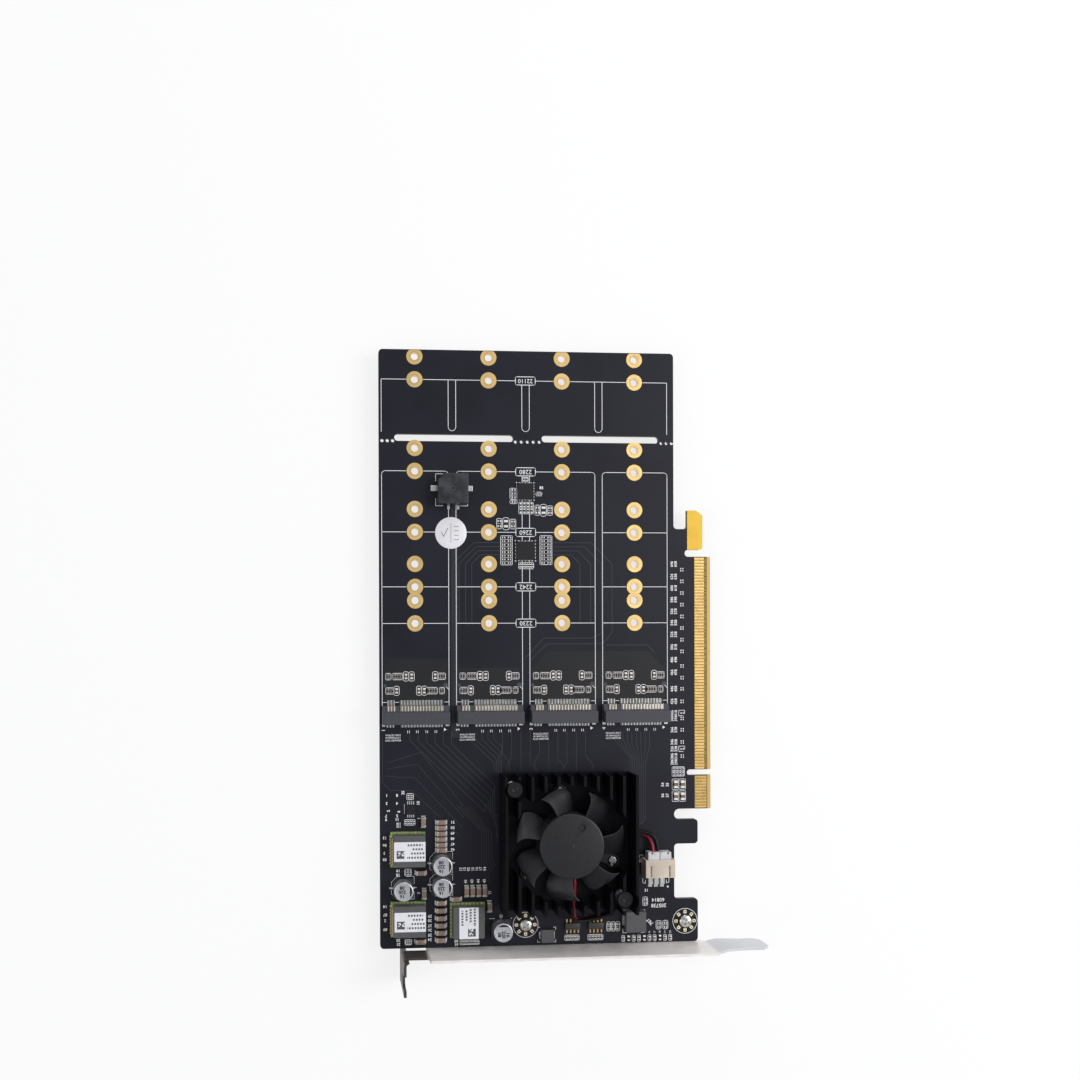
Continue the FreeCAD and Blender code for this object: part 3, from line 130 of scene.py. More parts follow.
grain = bpy.data.node_groups.new("fine_grain", "ShaderNodeTree")
for label, kind, way in (
    ("Vector", "NodeSocketVector", "INPUT"), ("Scale", "NodeSocketFloat", "INPUT"),
    ("Detail", "NodeSocketFloat", "INPUT"), ("Contrast", "NodeSocketFloat", "INPUT"),
    ("Tone", "NodeSocketFloat", "OUTPUT"), ("Height", "NodeSocketFloat", "OUTPUT"),
):
    grain.interface.new_socket(name=label, in_out=way, socket_type=kind)
inner, outer = grain.nodes.new("NodeGroupInput"), grain.nodes.new("NodeGroupOutput")
broad, fine = grain.nodes.new("ShaderNodeTexNoise"), grain.nodes.new("ShaderNodeTexNoise")
finer = grain.nodes.new("ShaderNodeMath")
finer.operation = "MULTIPLY"
finer.inputs[1].default_value = 5.0
spread = grain.nodes.new("ShaderNodeMapRange")
low_end, high_end = grain.nodes.new("ShaderNodeMath"), grain.nodes.new("ShaderNodeMath")
low_end.operation, high_end.operation = "SUBTRACT", "ADD"
low_end.inputs[0].default_value = high_end.inputs[0].default_value = 0.5
both = grain.nodes.new("ShaderNodeMath")
both.operation = "MULTIPLY_ADD"
both.inputs[1].default_value = 0.6
for a, b in (
    (inner.outputs["Vector"], broad.inputs["Vector"]), (inner.outputs["Scale"], broad.inputs["Scale"]),
    (inner.outputs["Detail"], broad.inputs["Detail"]), (inner.outputs["Vector"], fine.inputs["Vector"]),
    (inner.outputs["Scale"], finer.inputs[0]), (finer.outputs[0], fine.inputs["Scale"]),
    (inner.outputs["Contrast"], low_end.inputs[1]), (inner.outputs["Contrast"], high_end.inputs[1]),
    (low_end.outputs[0], spread.inputs["From Min"]), (high_end.outputs[0], spread.inputs["From Max"]),
    (broad.outputs[0], spread.inputs["Value"]), (spread.outputs[0], outer.inputs["Tone"]),
    (fine.outputs[0], both.inputs[0]), (broad.outputs[0], both.inputs[2]),
    (both.outputs[0], outer.inputs["Height"]),
):
    grain.links.new(a, b)


def finish(name, colour, rough, metallic=0.0, vary=0.12, scale=700.0, bump=0.0, stretch=(1, 1, 1),
           rough_vary=0.06, specular=0.5, coat=0.0, contrast=0.22):
    """A surface whose tone, gloss and relief all vary with one fine grain."""
    material = bpy.data.materials.new(name)
    material.use_nodes = True
    nodes, links = material.node_tree.nodes, material.node_tree.links
    shader = nodes["Principled BSDF"]
    shader.inputs["Metallic"].default_value = metallic
    shader.inputs["Specular IOR Level"].default_value = specular
    shader.inputs["Coat Weight"].default_value = coat
    where, turn = nodes.new("ShaderNodeTexCoord"), nodes.new("ShaderNodeMapping")
    turn.inputs["Scale"].default_value = stretch
    pattern = nodes.new("ShaderNodeGroup")
    pattern.node_tree = grain
    pattern.name = "grain"
    pattern.inputs["Scale"].default_value = scale
    pattern.inputs["Detail"].default_value = 3.0
    pattern.inputs["Contrast"].default_value = contrast
    tint = nodes.new("ShaderNodeMix")
    tint.data_type = "RGBA"
    tint.name = "tint"
    tint.inputs["A"].default_value = [c * (1 - vary) for c in colour] + [1]
    tint.inputs["B"].default_value = [min(1, c * (1 + vary)) for c in colour] + [1]
    gloss = nodes.new("ShaderNodeMapRange")
    gloss.inputs["To Min"].default_value = max(0.02, rough - rough_vary)
    gloss.inputs["To Max"].default_value = min(1.0, rough + rough_vary)
    links.new(where.outputs["Object"], turn.inputs["Vector"])
    links.new(turn.outputs[0], pattern.inputs["Vector"])
    links.new(pattern.outputs["Tone"], tint.inputs["Factor"])
    links.new(pattern.outputs["Tone"], gloss.inputs["Value"])
    links.new(tint.outputs["Result"], shader.inputs["Base Color"])
    links.new(gloss.outputs[0], shader.inputs["Roughness"])
    if bump:
        relief = nodes.new("ShaderNodeBump")
        relief.name = "relief"
        relief.inputs["Strength"].default_value = bump
        relief.inputs["Distance"].default_value = 0.00004
        links.new(pattern.outputs["Height"], relief.inputs["Height"])
        links.new(relief.outputs[0], shader.inputs["Normal"])
    return material


def paint(node, material):
    """Gives a solid that came with the frame its finish."""
    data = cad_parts[node].data
    if not data.materials:
        data.materials.append(material)
    for i in range(len(data.materials)):
        data.materials[i] = material


mask = finish("solder_mask", (0.0085, 0.0085, 0.0165), 0.44, vary=0.22, scale=45.0, bump=0.15,
              rough_vary=0.04, specular=0.26)
nodes, links = mask.node_tree.nodes, mask.node_tree.links
facing, parts = nodes.new("ShaderNodeNewGeometry"), nodes.new("ShaderNodeSeparateXYZ")
upright, level = nodes.new("ShaderNodeMath"), nodes.new("ShaderNodeMath")
upright.operation, level.operation = "ABSOLUTE", "GREATER_THAN"
level.inputs[1].default_value = 0.5
edge_tone = nodes.new("ShaderNodeMix")
edge_tone.data_type = "RGBA"
edge_tone.inputs["A"].default_value = (0.060, 0.066, 0.036, 1)
flat, bevelled = nodes.new("ShaderNodeMath"), nodes.new("ShaderNodeMix")
flat.operation = "GREATER_THAN"
flat.inputs[1].default_value = 0.985
bevelled.data_type = "RGBA"
bevelled.inputs["A"].default_value = (0.56, 0.38, 0.12, 1)
links.new(facing.outputs["True Normal"], parts.inputs[0])
links.new(parts.outputs["Z"], upright.inputs[0])
links.new(upright.outputs[0], level.inputs[0])
links.new(level.outputs[0], edge_tone.inputs["Factor"])
links.new(upright.outputs[0], flat.inputs[0])
links.new(flat.outputs[0], bevelled.inputs["Factor"])
links.new(nodes["tint"].outputs["Result"], bevelled.inputs["B"])
links.new(bevelled.outputs["Result"], edge_tone.inputs["B"])
links.new(edge_tone.outputs["Result"], nodes["Principled BSDF"].inputs["Base Color"])
weave_place, warp, weft = (nodes.new(k)
                           for k in ("ShaderNodeTexCoord", "ShaderNodeTexWave", "ShaderNodeTexWave"))
warp.inputs["Scale"].default_value = weft.inputs["Scale"].default_value = 520.0
warp.bands_direction, weft.bands_direction = "X", "Y"
cloth = nodes.new("ShaderNodeMath")
cloth.operation = "ADD"
weave = nodes.new("ShaderNodeBump")
weave.inputs["Strength"].default_value = 0.05
weave.inputs["Distance"].default_value = 0.00002
links.new(weave_place.outputs["Object"], warp.inputs["Vector"])
links.new(weave_place.outputs["Object"], weft.inputs["Vector"])
links.new(warp.outputs[1], cloth.inputs[0])
links.new(weft.outputs[1], cloth.inputs[1])
links.new(cloth.outputs[0], weave.inputs["Height"])
links.new(nodes["relief"].outputs[0], weave.inputs["Normal"])
links.new(weave.outputs[0], nodes["Principled BSDF"].inputs["Normal"])
paint("circuit_board", mask)

# ---------------------------------------------------------------- copper under the mask
# Signal pairs run from the module sockets to the switch chip and on to the edge
# contacts.  The mask lies over them as low ridges, a shade lighter than the board.
def block(bm, low, high, turn=0.0, about=None):
    """A rectangular block from one corner to the other, in millimetres."""
    size = [(b - a) * MM for a, b in zip(low, high)]
    middle = Vector([(a + b) / 2 * MM for a, b in zip(low, high)])
    spin = Matrix.Rotation(math.radians(turn), 4, "Z")
    if about:
        pivot = Vector((about[0] * MM, about[1] * MM, 0))
        middle = pivot + spin @ (middle - pivot)
    made = bmesh.ops.create_cube(bm, size=1.0,
                                 matrix=Matrix.Translation(middle) @ spin @ Matrix.Diagonal((*size, 1)))
    return made["verts"]


def stroke(bm, points, width, low, high):
    """A flat bar along each stretch of a line, long enough to close its corners."""
    for (x0, y0), (x1, y1) in zip(points, points[1:]):
        length = math.hypot(x1 - x0, y1 - y0) + width * 0.4
        middle = Vector(((x0 + x1) / 2 * MM, (y0 + y1) / 2 * MM, (low + high) / 2 * MM))
        turn = Matrix.Rotation(math.atan2(y1 - y0, x1 - x0), 4, "Z")
        size = Matrix.Diagonal((length * MM, width * MM, (high - low) * MM, 1))
        bmesh.ops.create_cube(bm, size=1.0, matrix=Matrix.Translation(middle) @ turn @ size)


def piece(name, bm, material, body="card", replaces=(), sharp=35.0):
    """Closes a mesh, shades its soft edges smooth and fixes it to its body."""
    bmesh.ops.recalc_face_normals(bm, faces=bm.faces)
    for face in bm.faces:
        face.smooth = True
    for edge in bm.edges:
        edge.smooth = edge.calc_face_angle(0.0) < math.radians(sharp)
    data = bpy.data.meshes.new(name)
    bm.to_mesh(data)
    bm.free()
    data.materials.append(material)
    made = bpy.data.objects.new(name, data)
    bpy.context.collection.objects.link(made)
    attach(made, body)
    if replaces:
        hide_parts(*replaces)
    return made


ridge = finish("masked_copper", (0.046, 0.048, 0.052), 0.42, vary=0.1, scale=60.0, specular=0.3)
bm = bmesh.new()


def track(points, width, rise):
    """One track, from just inside the mask to the ridge it lifts."""
    stroke(bm, points, width, TOP - 0.01, TOP + rise)


for k in range(6):                       # first socket, stepping down to the chip's left side
    x = -101.2 + k * 2.75
    drop = 11.6 - k * 0.25
    track([(x, 14.6), (x, drop), (-76.4 + k * 0.62, drop - (-76.4 + k * 0.62 - x) * 0.96),
                (-76.4 + k * 0.62, -9.5 - k * 1.1), (-72.2, -13.6 - k * 1.7)], 0.16, 0.012)
for k in range(5):
    x = -81.4 + k * 2.0
    track([(x, 14.4), (x, 11.8), (-73.2 + k * 0.6, 11.8 - (-73.2 + k * 0.6 - x) * 0.96),
                (-73.2 + k * 0.6, 1.2 - k * 0.3)], 0.15, 0.012)
for k in range(4):                       # long run along the left edge
    track([(-110.2, 12.0 - k * 0.6), (-110.2 + k * 0.7, -2.0 + k * 2.2), (-107.6 + k * 3.6, -4.6 + k * 4.2),
           (-100.8 + k * 1.0, -4.6 + k * 4.2), (-84.6 + k * 0.5, -20.2 + k * 3.2)][1 if k else 0:], 0.13,
           0.010)
for k in range(10):                      # second and third sockets, straight down to the chip
    x = -70.6 + k * 3.1
    foot = x + (2.4 if k % 3 == 0 else -1.6 if k % 3 == 1 else 0)
    track([(x, 14.2), (x, 7.2 - (k % 4) * 1.1), (foot, 4.0 - (k % 4) * 0.8), (foot, 1.3)], 0.15, 0.010)
for k in range(9):                       # fourth socket, round the chip's right side
    track([(-33.0 + k * 1.5, 13.6), (-33.0 + k * 1.5, 11.5 - k * 0.35), (-27.4 + k * 0.62, 5.0 - k * 0.2),
                (-27.4 + k * 0.62, -19.5 + k * 0.45), (-28.4, -21.0 + k * 0.3)], 0.15, 0.010)
for k in range(4):                       # clock pairs leave the buffer chip on both sides
    y = 76.7 - k * 1.35
    for start, down in ((-53.4, -33.6 - k * 3.6), (-71.3, -86.9 + k * 2.1)):
        way = 1 if down > start else -1
        run = [(start, y), (down - way * (y - 69.7), y), (down, 69.7), (down, 50.2)]
        if way > 0 and k < 2:            # the outer two turn on towards the sockets
            run[-1:] = [(down, 46.9 - k * 0.2), (down - 3.2, 43.2 + k * 1.9), (-55.6 - k, 43.2 + k * 1.9),
                        (-61.4 - k * 1.6, 37.5 + k)]
        track(run, 0.18, 0.012)
track([(-35.8, 42.7), (-21.4, 42.7), (-19.3, 40.2)], 0.18, 0.012)
for k in range(7):                       # column of pairs between the first and second modules
    track([(-87.3 + k * 0.33, 12.6), (-87.3 + k * 0.33, 98.0 - k * 0.5)], 0.12, 0.008)
for k in range(5):                       # lower left, between the power parts and the chip
    track([(-86.0 + k * 1.2, -9.6 - k * 0.2), (-80.4 + k, -15.6 - k * 0.25),
           (-77.6 + k * 0.8, -18.6 - k * 0.15), (-77.6 + k * 0.8, -30.8 + k * 0.8),
           (-75.2 + k * 0.5, -34.6 + k * 1.2)], 0.13, 0.010)
piece("masked_tracks", bm, ridge)

# ---------------------------------------------------------------- gilded copper
# Edge contacts, the hook on the card's rear end and the plated standoff holes, all
# nickel and gold over copper.  Each hole has a barrel with a ring on both faces.
gilt = finish("gilt_copper", (0.81, 0.54, 0.20), 0.30, metallic=1.0, vary=0.05, scale=300.0, bump=0.02,
              rough_vary=0.05)
paint("edge_contacts", gilt)
hook_gilt = finish("hook_gilt", (0.62, 0.39, 0.06), 0.36, metallic=0.9, vary=0.04, scale=160.0,
                   rough_vary=0.04)
paint("hook_plating", hook_gilt)


def turned(bm, profile, centre, steps=32):
    """A turned shape from a half section of (radius, height) points about an upright axis."""
    part = bmesh.new()
    corners = [part.verts.new(((centre[0] + r) * MM, centre[1] * MM, z * MM)) for r, z in profile]
    sides = [part.edges.new(pair) for pair in zip(corners, corners[1:])]
    if profile[0][0] > 0 and profile[-1][0] > 0:
        sides.append(part.edges.new((corners[-1], corners[0])))
    bmesh.ops.spin(part, geom=corners + sides, cent=(centre[0] * MM, centre[1] * MM, 0), axis=(0, 0, 1),
                   angle=math.tau, steps=steps, use_merge=True)
    bmesh.ops.remove_doubles(part, verts=part.verts, dist=1e-7)
    merge_in(bm, part)


def merge_in(bm, part, place=None):
    """Adds a finished shape to a piece, moved to its place, and lets go of it."""
    if place is not None:
        part.transform(place)
    held = bpy.data.meshes.new("held")
    part.to_mesh(held)
    bm.from_mesh(held)
    bpy.data.meshes.remove(held)
    part.free()


HOLE_COLUMNS = [-99.35 + 24.47 * k for k in range(4)]
SOCKET_LINE, REAR_SHIFT = 20.09, 7.52       # the rear sockets and rows stand one step further on
DRIVE_LENGTHS = (30, 42, 60, 80, 110)
HOLE_ROWS = [SOCKET_LINE + length + shift for length in DRIVE_LENGTHS for shift in (0.0, REAR_SHIFT)]
bm = bmesh.new()
for x in HOLE_COLUMNS:
    for y in HOLE_ROWS:
        lift = 0.05 + 0.006 * (HOLE_ROWS.index(y) % 2)     # neighbouring rings run into each other
        section = [(1.24, BACK - lift), (2.66, BACK - lift), (2.66, BACK + 0.02), (1.46, BACK + 0.02),
                   (1.46, TOP - 0.02), (2.66, TOP - 0.02), (2.66, TOP + lift), (1.24, TOP + lift)]
        ring = bmesh.new()
        turned(ring, section, (x, y), 48)
        if y > 137:                         # the last row's rings stop at the end of the board
            bmesh.ops.bisect_plane(ring, geom=ring.verts[:] + ring.edges[:] + ring.faces[:],
                                   plane_co=(0, 139.72 * MM, 0), plane_no=(0, 1, 0), clear_outer=True)
            bmesh.ops.holes_fill(ring, edges=ring.edges[:])
        merge_in(bm, ring)
ring_gilt = finish("ring_gilt", (0.96, 0.68, 0.27), 0.34, metallic=0.92, vary=0.04, scale=260.0,
                   rough_vary=0.04)
piece("standoff_rings", bm, ring_gilt)
bm = bmesh.new()
for x in HOLE_COLUMNS:                   # solder shows as a dull band round each bore
    for y in HOLE_ROWS:
        for face in (TOP + 0.05, BACK - 0.07):
            turned(bm, [(1.22, face), (1.75, face), (1.75, face + 0.02), (1.22, face + 0.02)], (x, y), 48)
bright_gilt = finish("pressed_gilt", (0.74, 0.52, 0.27), 0.42, metallic=1.0, vary=0.05, scale=500.0,
                     rough_vary=0.05)
piece("standoff_lands", bm, bright_gilt)
bm = bmesh.new()
for k in range(71):                      # ties to the card's edge, which the plater's bar held
    if k % 2 == 0 or k % 7 == 3:
        for face in (TOP, BACK):
            block(bm, (-2.35, 1.5 + k - 0.09, face - 0.012), (-1.62, 1.5 + k + 0.09, face + 0.012))
piece("contact_ties", bm, gilt)

# the mask stops short of the contacts and leaves yellow laminate between them
bm = bmesh.new()
for low, high in ((1.15, 71.9), (-11.9, -1.15)):
    for face in (TOP, BACK):
        block(bm, (-5.6, low, face - 0.012), (-1.42, high, face + 0.012))
bare = finish("bare_laminate", (0.30, 0.19, 0.030), 0.5, vary=0.12, scale=260.0)
piece("contact_window", bm, bare)
bm = bmesh.new()                         # plating wraps the hook down to its rounded foot
corners = [(-8.0, 74.47), (-3.7, 74.47), (-3.05, 74.75), (-2.77, 75.4), (-2.77, 85.95), (-4.95, 87.63),
           (-8.0, 87.63)]
for low, high in ((TOP - 0.01, TOP + 0.055), (BACK - 0.055, BACK + 0.01)):
    rim = [bm.verts.new((x * MM, y * MM, low * MM)) for x, y in corners]
    outline = bmesh.ops.contextual_create(bm, geom=rim)["faces"]
    grown = bmesh.ops.extrude_face_region(bm, geom=outline)["geom"]
    bmesh.ops.translate(bm, verts=[g for g in grown if isinstance(g, bmesh.types.BMVert)],
                        vec=(0, 0, (high - low) * MM))
piece("hook_faces", bm, hook_gilt)

# ---------------------------------------------------------------- white print
# Screen printed outlines of the four modules, joined through the standoff rows, with
# the plain length numbers in rounded frames.  Epoxy ink, 0.02 mm thick.
ink = finish("white_ink", (0.88, 0.88, 0.90), 0.62, vary=0.12, scale=1500.0, contrast=0.3)
INK_LOW, INK_HIGH = TOP - 0.01, TOP + 0.022


def inked(bm, points, width):
    """One printed line."""
    stroke(bm, points, width, INK_LOW, INK_HIGH)


def arc(x, y, radius, start, end, steps=6):
    """Points along part of a circle."""
    return [(x + radius * math.cos(math.radians(start + (end - start) * k / steps)),
             y + radius * math.sin(math.radians(start + (end - start) * k / steps)))
             for k in range(steps + 1)]


def frame_line(x0, x1, y0, y1, radius, steps=5):
    """A closed rectangle with rounded corners."""
    line = []
    for x, y, start in ((x1 - radius, y1 - radius, 0), (x0 + radius, y1 - radius, 90),
                        (x0 + radius, y0 + radius, 180), (x1 - radius, y0 + radius, 270)):
        line += arc(x, y, radius, start, start + 90, steps)
    return line + line[:1]


def curve_mesh(curve, weld=1e-6):
    """The closed mesh of a curve, with its caps welded on."""
    holder = bpy.data.objects.new("line", curve)
    bpy.context.collection.objects.link(holder)
    made = bpy.data.meshes.new_from_object(holder)
    bpy.data.objects.remove(holder)
    part = bmesh.new()
    part.from_mesh(made)
    bpy.data.meshes.remove(made)
    bmesh.ops.remove_doubles(part, verts=part.verts, dist=weld)
    return part


def print_number(bm, text, x, y, height, turn=0.0, thin=0.0):
    """Plain printed figures, centred on a point."""
    curve = bpy.data.curves.new("figures", "FONT")
    curve.body, curve.size, curve.align_x, curve.align_y = text, height * MM * 1.38, "CENTER", "CENTER"
    curve.extrude, curve.offset, curve.resolution_u = 0.000012, thin * MM, 2
    place = Matrix.Translation((x * MM, y * MM, (TOP + 0.012) * MM))
    merge_in(bm, curve_mesh(curve, 1e-7), place @ Matrix.Rotation(math.radians(turn), 4, "Z"))


MODULE_SIDES = [(x - 10.9, x + 11.1) for x in HOLE_COLUMNS]
LINE = 0.18
bm = bmesh.new()
numbers = [(SOCKET_LINE + length, f"22{length}") for length in DRIVE_LENGTHS]
for i, (left, right) in enumerate(MODULE_SIDES):
    left_end, right_end = max(left, -110.55), right
    outline = [(left_end, 16.4), (left_end, 98.9)] + arc(left_end + 1.2, 98.9, 1.2, 180, 90) + \
        arc(right_end - 1.2, 98.9, 1.2, 90, 0) + [(right_end, 16.4)]
    inked(bm, outline[:9], LINE)
    inked(bm, outline[9:], LINE)
    hole = HOLE_COLUMNS[i]
    for y, _ in numbers[:4]:
        stops = [(left_end, hole - 2.85), (hole + 2.85, right_end)]
        for a, b in stops:
            if y == numbers[3][0]:           # between the rounded corners
                a, b = max(a, left_end + 1.2), min(b, right_end - 1.2)
            inked(bm, [(a, y), (b, y)], LINE)
for x in [(MODULE_SIDES[k][1] + MODULE_SIDES[k + 1][0]) / 2 for k in range(3)]:
    foot = arc(x, 114.6, 1.25, 180, 360, 8)
    inked(bm, [(x - 1.25, 129.9), (x - 1.25, 114.6)] + foot + [(x + 1.25, 129.9)], LINE)
tail_stops = [-110.3] + [v for x in HOLE_COLUMNS for v in (x - 2.85, x + 2.85)] + [-14.9]
for k in range(0, 10, 2):
    a, b = tail_stops[k], tail_stops[k + 1]
    gap = -62.6
    if a < gap < b:
        inked(bm, [(a, 130.09), (gap - 3.2, 130.09)], LINE)
        inked(bm, [(gap + 3.2, 130.09), (b, 130.09)], LINE)
    else:
        inked(bm, [(a, 130.09), (b, 130.09)], LINE)
for side in (-110.3, -14.9):
    inked(bm, [(side, 130.09), (side, 112.9)], LINE)
for y, text in numbers:
    stroke(bm, frame_line(-62.6 - 3.3, -62.6 + 3.3, y - 1.35, y + 1.35, 0.55), LINE * 1.2, INK_LOW,
           INK_HIGH + 0.004)
    print_number(bm, text, -62.6, y, 1.55 if len(text) < 5 else 1.45, 180)
OVER = Matrix.Translation((-125.29 * MM, 7.52 * MM, 0)) @ Matrix.Rotation(math.pi, 4, "Y")


def turned_over(bm):
    """A copy for the back of the board, where everything sits one stack step further on."""
    other = bm.copy()
    bmesh.ops.transform(other, matrix=OVER, verts=other.verts)
    return other


piece("rear_module_print", turned_over(bm), ink)
piece("module_print", bm, ink)
bm = bmesh.new()
for y, text in numbers:                  # the mask inside each frame is left clear of other lines
    block(bm, (-62.6 - 3.2, y - 1.25, TOP - 0.01), (-62.6 + 3.2, y + 1.25, TOP + 0.0235))
plain_mask = finish("plain_mask", (0.009, 0.009, 0.015), 0.46, vary=0.1, scale=60.0, specular=0.26)
piece("rear_number_fields", turned_over(bm), plain_mask)
piece("number_fields", bm, plain_mask)

# ---------------------------------------------------------------- module sockets
# Eight 67 way edge sockets for storage modules, four on each face, moulded in black
# nylon with gilt spring contacts that are soldered in front of and behind the body.
nylon = finish("black_nylon", (0.046, 0.046, 0.058), 0.55, vary=0.14, scale=1400.0, bump=0.2, rough_vary=0.05)


def dressed(node, width, material, segments=2, name=None, body="card", angle=30.0):
    """A frame solid with its hard edges broken by a small round."""
    bm = bmesh.new()
    bm.from_mesh(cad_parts[node].data)
    bmesh.ops.remove_doubles(bm, verts=bm.verts, dist=1e-7)
    bmesh.ops.dissolve_limit(bm, angle_limit=math.radians(0.6), verts=bm.verts, edges=bm.edges)
    made = piece(name or node + "_body", bm, material, body, (node,))
    rounding = made.modifiers.new("broken_edges", "BEVEL")
    rounding.width, rounding.segments = width * MM, segments
    rounding.limit_method, rounding.angle_limit = "ANGLE", math.radians(angle)
    rounding.use_clamp_overlap = True
    rounding.harden_normals = True
    return made


FRONT_WAYS = [-9.0 + 0.5 * k for k in range(5)] + [-5.0 + 0.5 * k for k in range(29)]
BACK_WAYS = [-9.25 + 0.5 * k for k in range(5)] + [-4.75 + 0.5 * k for k in range(28)]
solder = finish("bright_solder", (0.72, 0.72, 0.70), 0.28, metallic=1.0, vary=0.10, scale=900.0, bump=0.3,
                rough_vary=0.1)
springs, feet = bmesh.new(), bmesh.new()
for side in (1, -1):
    for column in HOLE_COLUMNS:
        base = SOCKET_LINE if side > 0 else SOCKET_LINE + REAR_SHIFT

        def part(bm, x0, x1, y0, y1, z0, z1):
            """Rear sockets are the front ones turned over about the card's length."""
            xs = sorted((column + side * x0, column + side * x1))
            zs = sorted((side * (TOP + z0), side * (TOP + z1)))
            block(bm, (xs[0], base + y0, zs[0]), (xs[1], base + y1, zs[1]))

        for k, x in enumerate(FRONT_WAYS):      # every second spring lies higher and takes more solder
            half = 0.21 if k % 2 == 0 else 0.05
            part(springs, x - half, x + half, 1.35, 2.98, 2.10, 2.18 + 0.05 * (k % 2 == 0))
            part(springs, x - 0.1, x + 0.1, 3.02, 3.16, 0.02, 2.18)
            part(feet, x - half, x + half, 3.2, 4.85, 0.0, 0.16)
        for k, x in enumerate(BACK_WAYS):
            half = 0.21 if k % 2 == 0 else 0.05
            part(feet, x - half, x + half, -4.05, -2.86, 0.0, 0.2)
            part(springs, x - 0.1, x + 0.1, -3.02, -2.88, 0.1, 1.3)
        for x in (-10.45, 10.35):
            part(feet, x - 0.5, x + 0.5, -3.75, -2.86, 0.0, 0.35)
spring_plate = finish("spring_plate", (0.92, 0.84, 0.72), 0.36, metallic=1.0, vary=0.12, scale=500.0)
piece("socket_springs", springs, spring_plate)
piece("socket_joints", feet, solder)
for k in range(1, 5):
    dressed(f"m2_socket_{k}", 0.12, nylon)
    dressed(f"m2_socket_rear_{k}", 0.12, nylon)

# ---------------------------------------------------------------- small resistors and capacitors
# A few hundred chip parts, 1.0 x 0.5 and 1.6 x 0.8 mm: fired ceramic with tinned ends,
# soldered to their lands inside printed frames, with plain figures beside them.
chip_black = finish("resistor_glaze", (0.018, 0.018, 0.020), 0.42, vary=0.1, scale=900.0)
chip_brown = finish("capacitor_brown", (0.20, 0.115, 0.075), 0.5, vary=0.18, scale=900.0)
chip_ends = finish("chip_ends", (0.86, 0.84, 0.82), 0.36, metallic=0.35, vary=0.12, scale=600.0)
dull_ends = finish("dull_ends", (0.30, 0.25, 0.22), 0.4, metallic=0.5, vary=0.16, scale=600.0)
browns, blacks, tips, dull_tips, prints = [bmesh.new() for k in range(5)]
THIN = 0.16


def chip_part(bodies, x, y, length, width, height, upright=False, tips=tips):
    """One chip: a body between two caps, each with a little solder beyond it."""
    turn = 90 if upright else 0
    end = length * 0.27
    block(bodies, (x - length / 2 + end, y - width / 2, TOP),
          (x + length / 2 - end, y + width / 2, TOP + height), turn, (x, y))
    for side in (-1, 1):
        cx = x + side * (length - end) / 2
        block(tips, (cx - end / 2, y - width * 0.52, TOP),
              (cx + end / 2, y + width * 0.52, TOP + height * 1.06), turn, (x, y))
        block(tips, (cx - end * 0.7, y - width * 0.55, TOP),
              (cx + end * 0.7, y + width * 0.55, TOP + height * 0.3), turn, (x, y))


def framed(x0, x1, y0, y1, columns, rows, bodies, upright=True, radius=0.18, length=1.0, width=0.5,
           tips=tips):
    """A printed frame round a block of chips in columns and rows."""
    inked(prints, frame_line(x0, x1, y0, y1, radius, 3), THIN)
    for c in range(columns):
        for r in range(rows):
            x = x0 + (x1 - x0) * (c + 0.5) / columns
            y = y0 + (y1 - y0) * (r + 0.5) / rows
            chip_part(bodies, x, y, length, width, 0.35, upright, tips)
    for c in range(1, columns):
        if upright:
            x = x0 + (x1 - x0) * c / columns
            inked(prints, [(x, y0), (x, y1)], 0.14)
    for r in range(1, rows):
        y = y0 + (y1 - y0) * r / rows
        inked(prints, [(x0, y), (x1, y)], 0.10)


for k, column in enumerate(HOLE_COLUMNS):   # supply parts in front of each module socket
    s = column + 99.35
    for a, b, count in ((-109.1, -107.35, 2), (-106.75, -103.5, 4), (-91.8, -89.4, 3)):
        framed(s + a, s + b, 31.65, 33.75, count, 1, blacks, True, 0.18, 1.5, 0.36, dull_tips)
    for a, b in ((-103.3, -101.55), (-101.45, -99.7), (-93.7, -91.95)):
        framed(s + a, s + b, 31.2, 34.25, 1, 1, browns, True, 0.6, 1.6, 0.8)
    for a, b, count in ((-109.1, -106.5, 3), (-95.6, -92.1, 4), (-91.4, -89.8, 2)):
        framed(s + a, s + b, 26.95, 29.05, count, 1, blacks, True, 0.18, 1.5, 0.36, dull_tips)
    for a, b in ((-106.4, -104.65), (-99.0, -97.35), (-97.25, -95.6)):
        framed(s + a, s + b, 26.5, 29.55, 1, 1, browns, True, 0.6, 1.6, 0.8)
    for a, b in ((-10.8, -9.4), (-6.6, -5.4), (9.6, 11.0)):   # the socket's own outline between its lands
        inked(prints, [(column + a, 24.25), (column + b, 24.25)], THIN)
    for m in (-2.3, 0.6, 3.7, 6.7):
        print_number(prints, "11", column + m, 14.5, 0.85, 0, 0.03)
    for m, row in enumerate(("246813579246", "135792468135", "802468013579")):
        print_number(prints, row, column - 7.35, 13.5 - m * 0.85, 0.62, 180)
    print_number(prints, str(k + 1), column - 10.5, 15.1, 1.1, 90, 0.03)
    turned(prints, [(0.0, INK_HIGH), (0.62, INK_HIGH), (0.62, INK_LOW), (0.0, INK_LOW)],
           (column + 9.7, 15.2), 3)
    inked(prints, [(column + 10.2, 29.2), (column + 11.0, 28.4)], THIN)
for name, bm, material, colour in (("rear_chip_bodies_brown", browns, chip_brown, "ceramic_body"),
                                   ("rear_chip_bodies_black", blacks, chip_black, "chip_package"),
                                   ("rear_chip_ends", tips, chip_ends, "tin"),
                                   ("rear_dull_ends", dull_tips, dull_ends, "tin"),
                                   ("rear_part_print", prints, ink, "board_mask")):
    piece(name, turned_over(bm), material)
